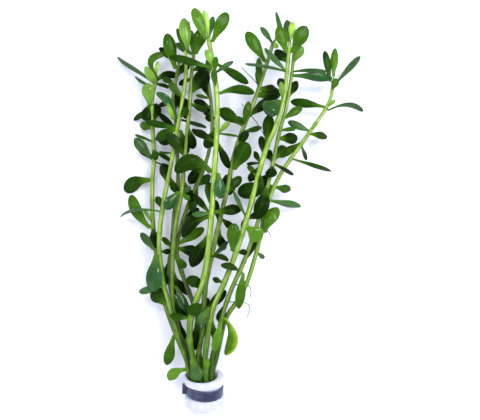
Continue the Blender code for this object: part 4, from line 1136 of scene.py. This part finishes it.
class BACOPA_OT_stems(bpy.types.Operator):
    """Dress the stems with the small leaves that grow from them"""

    bl_idname = "bacopa.stems"
    bl_label = "Stems"

    def execute(self, context):
        bunch = context.scene.bacopa
        leaves = leaf_materials(bunch.leaves)
        materials = [stem_material(bunch.stems)] + [leaves[look] for look in LOOKS]
        for number, stem in enumerate(STEMS, 1):
            node = f"stem_{number:02d}"
            solid = tree_of(node)
            gathering = Gathering()
            add_stem(gathering, stem, bunch.stems)
            for order, leaf in enumerate(stem.leaves, 1):
                if not leaf.apart:
                    dress_leaf(gathering, number, order, solid, bunch.leaves, 1 + LOOKS.index(leaf.look))
            keep(gathering.piece(f"leafy_stem_{number:02d}", materials), "stem", node)
        return {"FINISHED"}


class BACOPA_OT_roots(bpy.types.Operator):
    """Add the root hairs that hang from the joints"""

    bl_idname = "bacopa.roots"
    bl_label = "Root Hairs"

    def execute(self, context):
        settings = context.scene.bacopa.roots
        gathering = Gathering()
        for hair in ROOT_HAIRS:
            start, _, _ = stem_at(STEMS[hair.stem - 1], hair.base)
            points, shares = smooth_route([start] + [seen(*place) for place in hair.way])

            def radius_at(index, angle):
                return settings.radius * MM * (1 - ROOT_TAPER * shares[index])

            add_tube(gathering, points, radius_at, ROOT_SIDES)
        piece = gathering.piece("root_hairs", [root_material(settings)])
        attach(piece, BODY)
        return {"FINISHED"}


def outer_radius(at):
    """The sleeve's radius at this distance along its axis: rounded ends, and a waist under the strip."""
    to_end = min(SLEEVE_MOUTH_AT - at, at - SLEEVE_END_AT)
    radius = SLEEVE_RADIUS
    if to_end < SLEEVE_ROUNDING:
        radius -= SLEEVE_ROUNDING * (1 - math.sqrt(max(1 - (1 - to_end / SLEEVE_ROUNDING) ** 2, 0.0)))
    past_waist = abs(at - STRIP_AT) - STRIP_WIDTH / 2 - STRIP_SIDE_GAP
    share = min(max(past_waist / SLEEVE_SHOULDER, 0.0), 1.0)
    swell = share * share * (3 - 2 * share)
    return SLEEVE_WAIST + (radius - SLEEVE_WAIST) * swell


def bore_at(at):
    """The bore's radius and shift at this distance along the sleeve's axis."""
    share = min(max((at - BORE_TAPER_END) / (SLEEVE_MOUTH_AT - BORE_TAPER_END), 0.0), 1.0)
    to_end = min(SLEEVE_MOUTH_AT - at, at - SLEEVE_END_AT)
    lip = LIP_FLARE * max(1 - to_end / SLEEVE_ROUNDING, 0.0) ** 2
    radius = BORE_RADIUS + (MOUTH_RADIUS - BORE_RADIUS) * share + lip
    return radius, BORE_SHIFT + (MOUTH_SHIFT - BORE_SHIFT) * share


class BACOPA_OT_sleeve(bpy.types.Operator):
    """Make the soft foam sleeve round the cut ends"""

    bl_idname = "bacopa.sleeve"
    bl_label = "Foam Sleeve"

    def execute(self, context):
        settings = context.scene.bacopa.sleeve
        middle, half = (SLEEVE_MOUTH_AT + SLEEVE_END_AT) / 2, (SLEEVE_MOUTH_AT - SLEEVE_END_AT) / 2
        turns = [math.pi * step / settings.rings for step in range(settings.rings + 1)]
        ats = [middle - half * math.cos(turn) for turn in turns]
        circles = [(at, outer_radius(at), 0.0, True) for at in ats]
        circles += [(at, *bore_at(at), False) for at in reversed(ats[1:-1])]
        frame_of_sleeve = sleeve_frame()
        points = []
        for at, radius, shift, outside in circles:
            pressed = abs(at - STRIP_AT) < STRIP_WIDTH / 2 + STRIP_SIDE_GAP and outside
            for spoke in range(settings.sides):
                angle = math.tau * spoke / settings.sides
                way = Vector((math.cos(angle), -math.sin(angle), 0.0))
                spot = Vector((shift + radius * math.cos(angle), -radius * math.sin(angle), at))
                lump = settings.lump * noise.noise(spot * LUMPS_PER_MM)
                lump += settings.fibre * noise.noise(spot * FIBRES_PER_MM)
                spot += way * lump * (LUMPS_UNDER_STRIP if pressed else 1.0)
                place = frame_of_sleeve @ (spot * MM)
                points.append((place.x, place.y, max(place.z, 0.0)))
        quads = grid_faces(len(circles) + 1, settings.sides, around=True)
        faces = [tuple(corner % len(points) for corner in reversed(quad)) for quad in quads]
        gathering = Gathering()
        gathering.add(points, faces)
        piece = gathering.piece("soft_sleeve", [foam_material(settings)], smoothing=0)
        keep(piece, "foam", "foam_sleeve")
        return {"FINISHED"}


class BACOPA_OT_strip(bpy.types.Operator):
    """Wind the soft metal strip round the sleeve and pinch its ends into a tab"""

    bl_idname = "bacopa.strip"
    bl_label = "Metal Strip"

    def execute(self, context):
        settings = context.scene.bacopa.strip
        split = TAB_SPLIT / 2 / STRIP_RADIUS
        path = []
        for step in range(settings.steps + 1):
            turn = TAB_ANGLE + split + (math.tau - 2 * split) * step / settings.steps
            path.append(Vector((math.cos(turn), math.sin(turn))) * STRIP_RADIUS)
        outwards = Vector((math.cos(TAB_ANGLE), math.sin(TAB_ANGLE)))
        tab = [outwards * TAB_REACH * share for share in TAB_ROWS]
        path = [path[0] + step for step in reversed(tab)] + path + [path[-1] + step for step in tab]
        middle = Matrix.Translation((0.0, 0.0, STRIP_AT * MM))
        turned = sleeve_frame() @ middle @ Matrix.Rotation(STRIP_YAW, 4, "Y")
        points, spots = [], []
        for index, (across, up) in enumerate(path):
            way = Vector((across, -up, 0.0)).normalized()
            for reach in STRIP_REACHES:
                spot = Vector((across, -up, reach * STRIP_WIDTH / 2))
                dent = noise.noise(spot * DENTS_PER_MM) - STRIP_SAG * abs(reach) ** 3
                points.append(tuple(turned @ ((spot + way * settings.dent * dent) * MM)))
                spots.append(((reach + 1) / 2, index / STEPS_PER_GRAIN))
        faces = grid_faces(len(path), len(STRIP_REACHES))
        gathering = Gathering()
        gathering.add(points, faces, [spots[corner] for quad in faces for corner in quad])
        piece = gathering.piece("wound_strip", [strip_material(settings)], smoothing=0)
        shell = piece.modifiers.new("thickness", "SOLIDIFY")
        shell.thickness = STRIP_THICKNESS * MM
        shell.offset = 0.0
        shell.use_even_offset = True
        edge = piece.modifiers.new("edge", "BEVEL")
        edge.width = STRIP_EDGE * MM
        edge.segments = 2
        edge.limit_method = "ANGLE"
        edge.angle_limit = STRIP_EDGE_ANGLE
        keep(piece, "strip", "metal_strip")
        return {"FINISHED"}


def add_light(name, place, size, power):
    """A soft light, turned to the middle of the bunch."""
    lamp = bpy.data.lights.new(name, "AREA")
    lamp.size = size
    lamp.energy = power
    thing = add_object(name, lamp)
    thing.location = place
    aim = Vector((EYE_ACROSS, EYE_ALONG, 0.0)) * MM - thing.location
    thing.rotation_euler = aim.to_track_quat("-Z", "Y").to_euler()


class BACOPA_OT_stage(bpy.types.Operator):
    """Set the pale floor, the soft light and the camera above the bunch"""

    bl_idname = "bacopa.stage"
    bl_label = "Stage"

    def execute(self, context):
        settings = context.scene.bacopa.stage
        scene = context.scene
        bpy.ops.mesh.primitive_plane_add(size=FLOOR_SIZE, location=(0.0, 0.0, -FLOOR_DROP))
        floor = context.object
        floor.name = "floor"
        paper = Recipe("pale paper")
        shades = rgba(settings.floor_colour, 0.985), rgba(settings.floor_colour)
        tint = paper.blend(paper.noise(scale=30.0), *shades)
        floor.data.materials.append(paper.finish(Base_Color=tint, Roughness=0.9))
        for name, place, size in LIGHTS:
            add_light(name, place, size, getattr(settings, f"{name}_power"))
        world = bpy.data.worlds.new("soft sky")
        world.use_nodes = True
        sky = world.node_tree.nodes["Background"]
        sky.inputs["Color"].default_value = rgba(settings.sky_colour)
        sky.inputs["Strength"].default_value = settings.sky
        scene.world = world
        camera = add_object("camera", bpy.data.cameras.new("camera"))
        camera.location = Vector((EYE_ACROSS, EYE_ALONG, EYE_LEVEL)) * MM
        camera.data.lens = camera.data.sensor_width * (EYE_LEVEL - MEAN_LEVEL) / PICTURE_WIDTH_SEEN
        camera.data.clip_start = NEAREST_SEEN
        scene.camera = camera
        scene.view_settings.view_transform = "Standard"
        return {"FINISHED"}


class BACOPA_PT_bunch(bpy.types.Panel):
    """Lists the steps that dress the bunch, with their settings"""

    bl_idname = "BACOPA_PT_bunch"
    bl_label = "Bacopa Bunch"
    bl_space_type = "VIEW_3D"
    bl_region_type = "UI"
    bl_category = "Bacopa Bunch"

    def draw(self, context):
        bunch = context.scene.bacopa
        for operator in STEPS:
            self.layout.operator(operator.bl_idname)
        for group in (bunch.leaves, bunch.stems, bunch.roots, bunch.sleeve, bunch.strip, bunch.stage):
            box = self.layout.box()
            for title in group.bl_rna.properties.keys():
                if title not in ("rna_type", "name"):
                    box.prop(group, title)


STEPS = (
    BACOPA_OT_stage,
    BACOPA_OT_sleeve,
    BACOPA_OT_strip,
    BACOPA_OT_stems,
    BACOPA_OT_leaves,
    BACOPA_OT_roots,
)
GROUPS = (LeafSettings, StemSettings, RootSettings, SleeveSettings, StripSettings, StageSettings)
CLASSES = GROUPS + (BunchSettings,) + STEPS + (BACOPA_PT_bunch,)


def register():
    """Registers the settings, the steps and the panel."""
    for kind in CLASSES:
        bpy.utils.register_class(kind)
    bpy.types.Scene.bacopa = PointerProperty(type=BunchSettings)


def unregister():
    """Takes them away again."""
    del bpy.types.Scene.bacopa
    for kind in reversed(CLASSES):
        bpy.utils.unregister_class(kind)


def main():
    """Dresses the whole bunch."""
    register()
    bpy.ops.bacopa.stage()
    bpy.ops.bacopa.sleeve()
    bpy.ops.bacopa.strip()
    bpy.ops.bacopa.stems()
    bpy.ops.bacopa.leaves()
    bpy.ops.bacopa.roots()


if __name__ == "__main__":
    main()
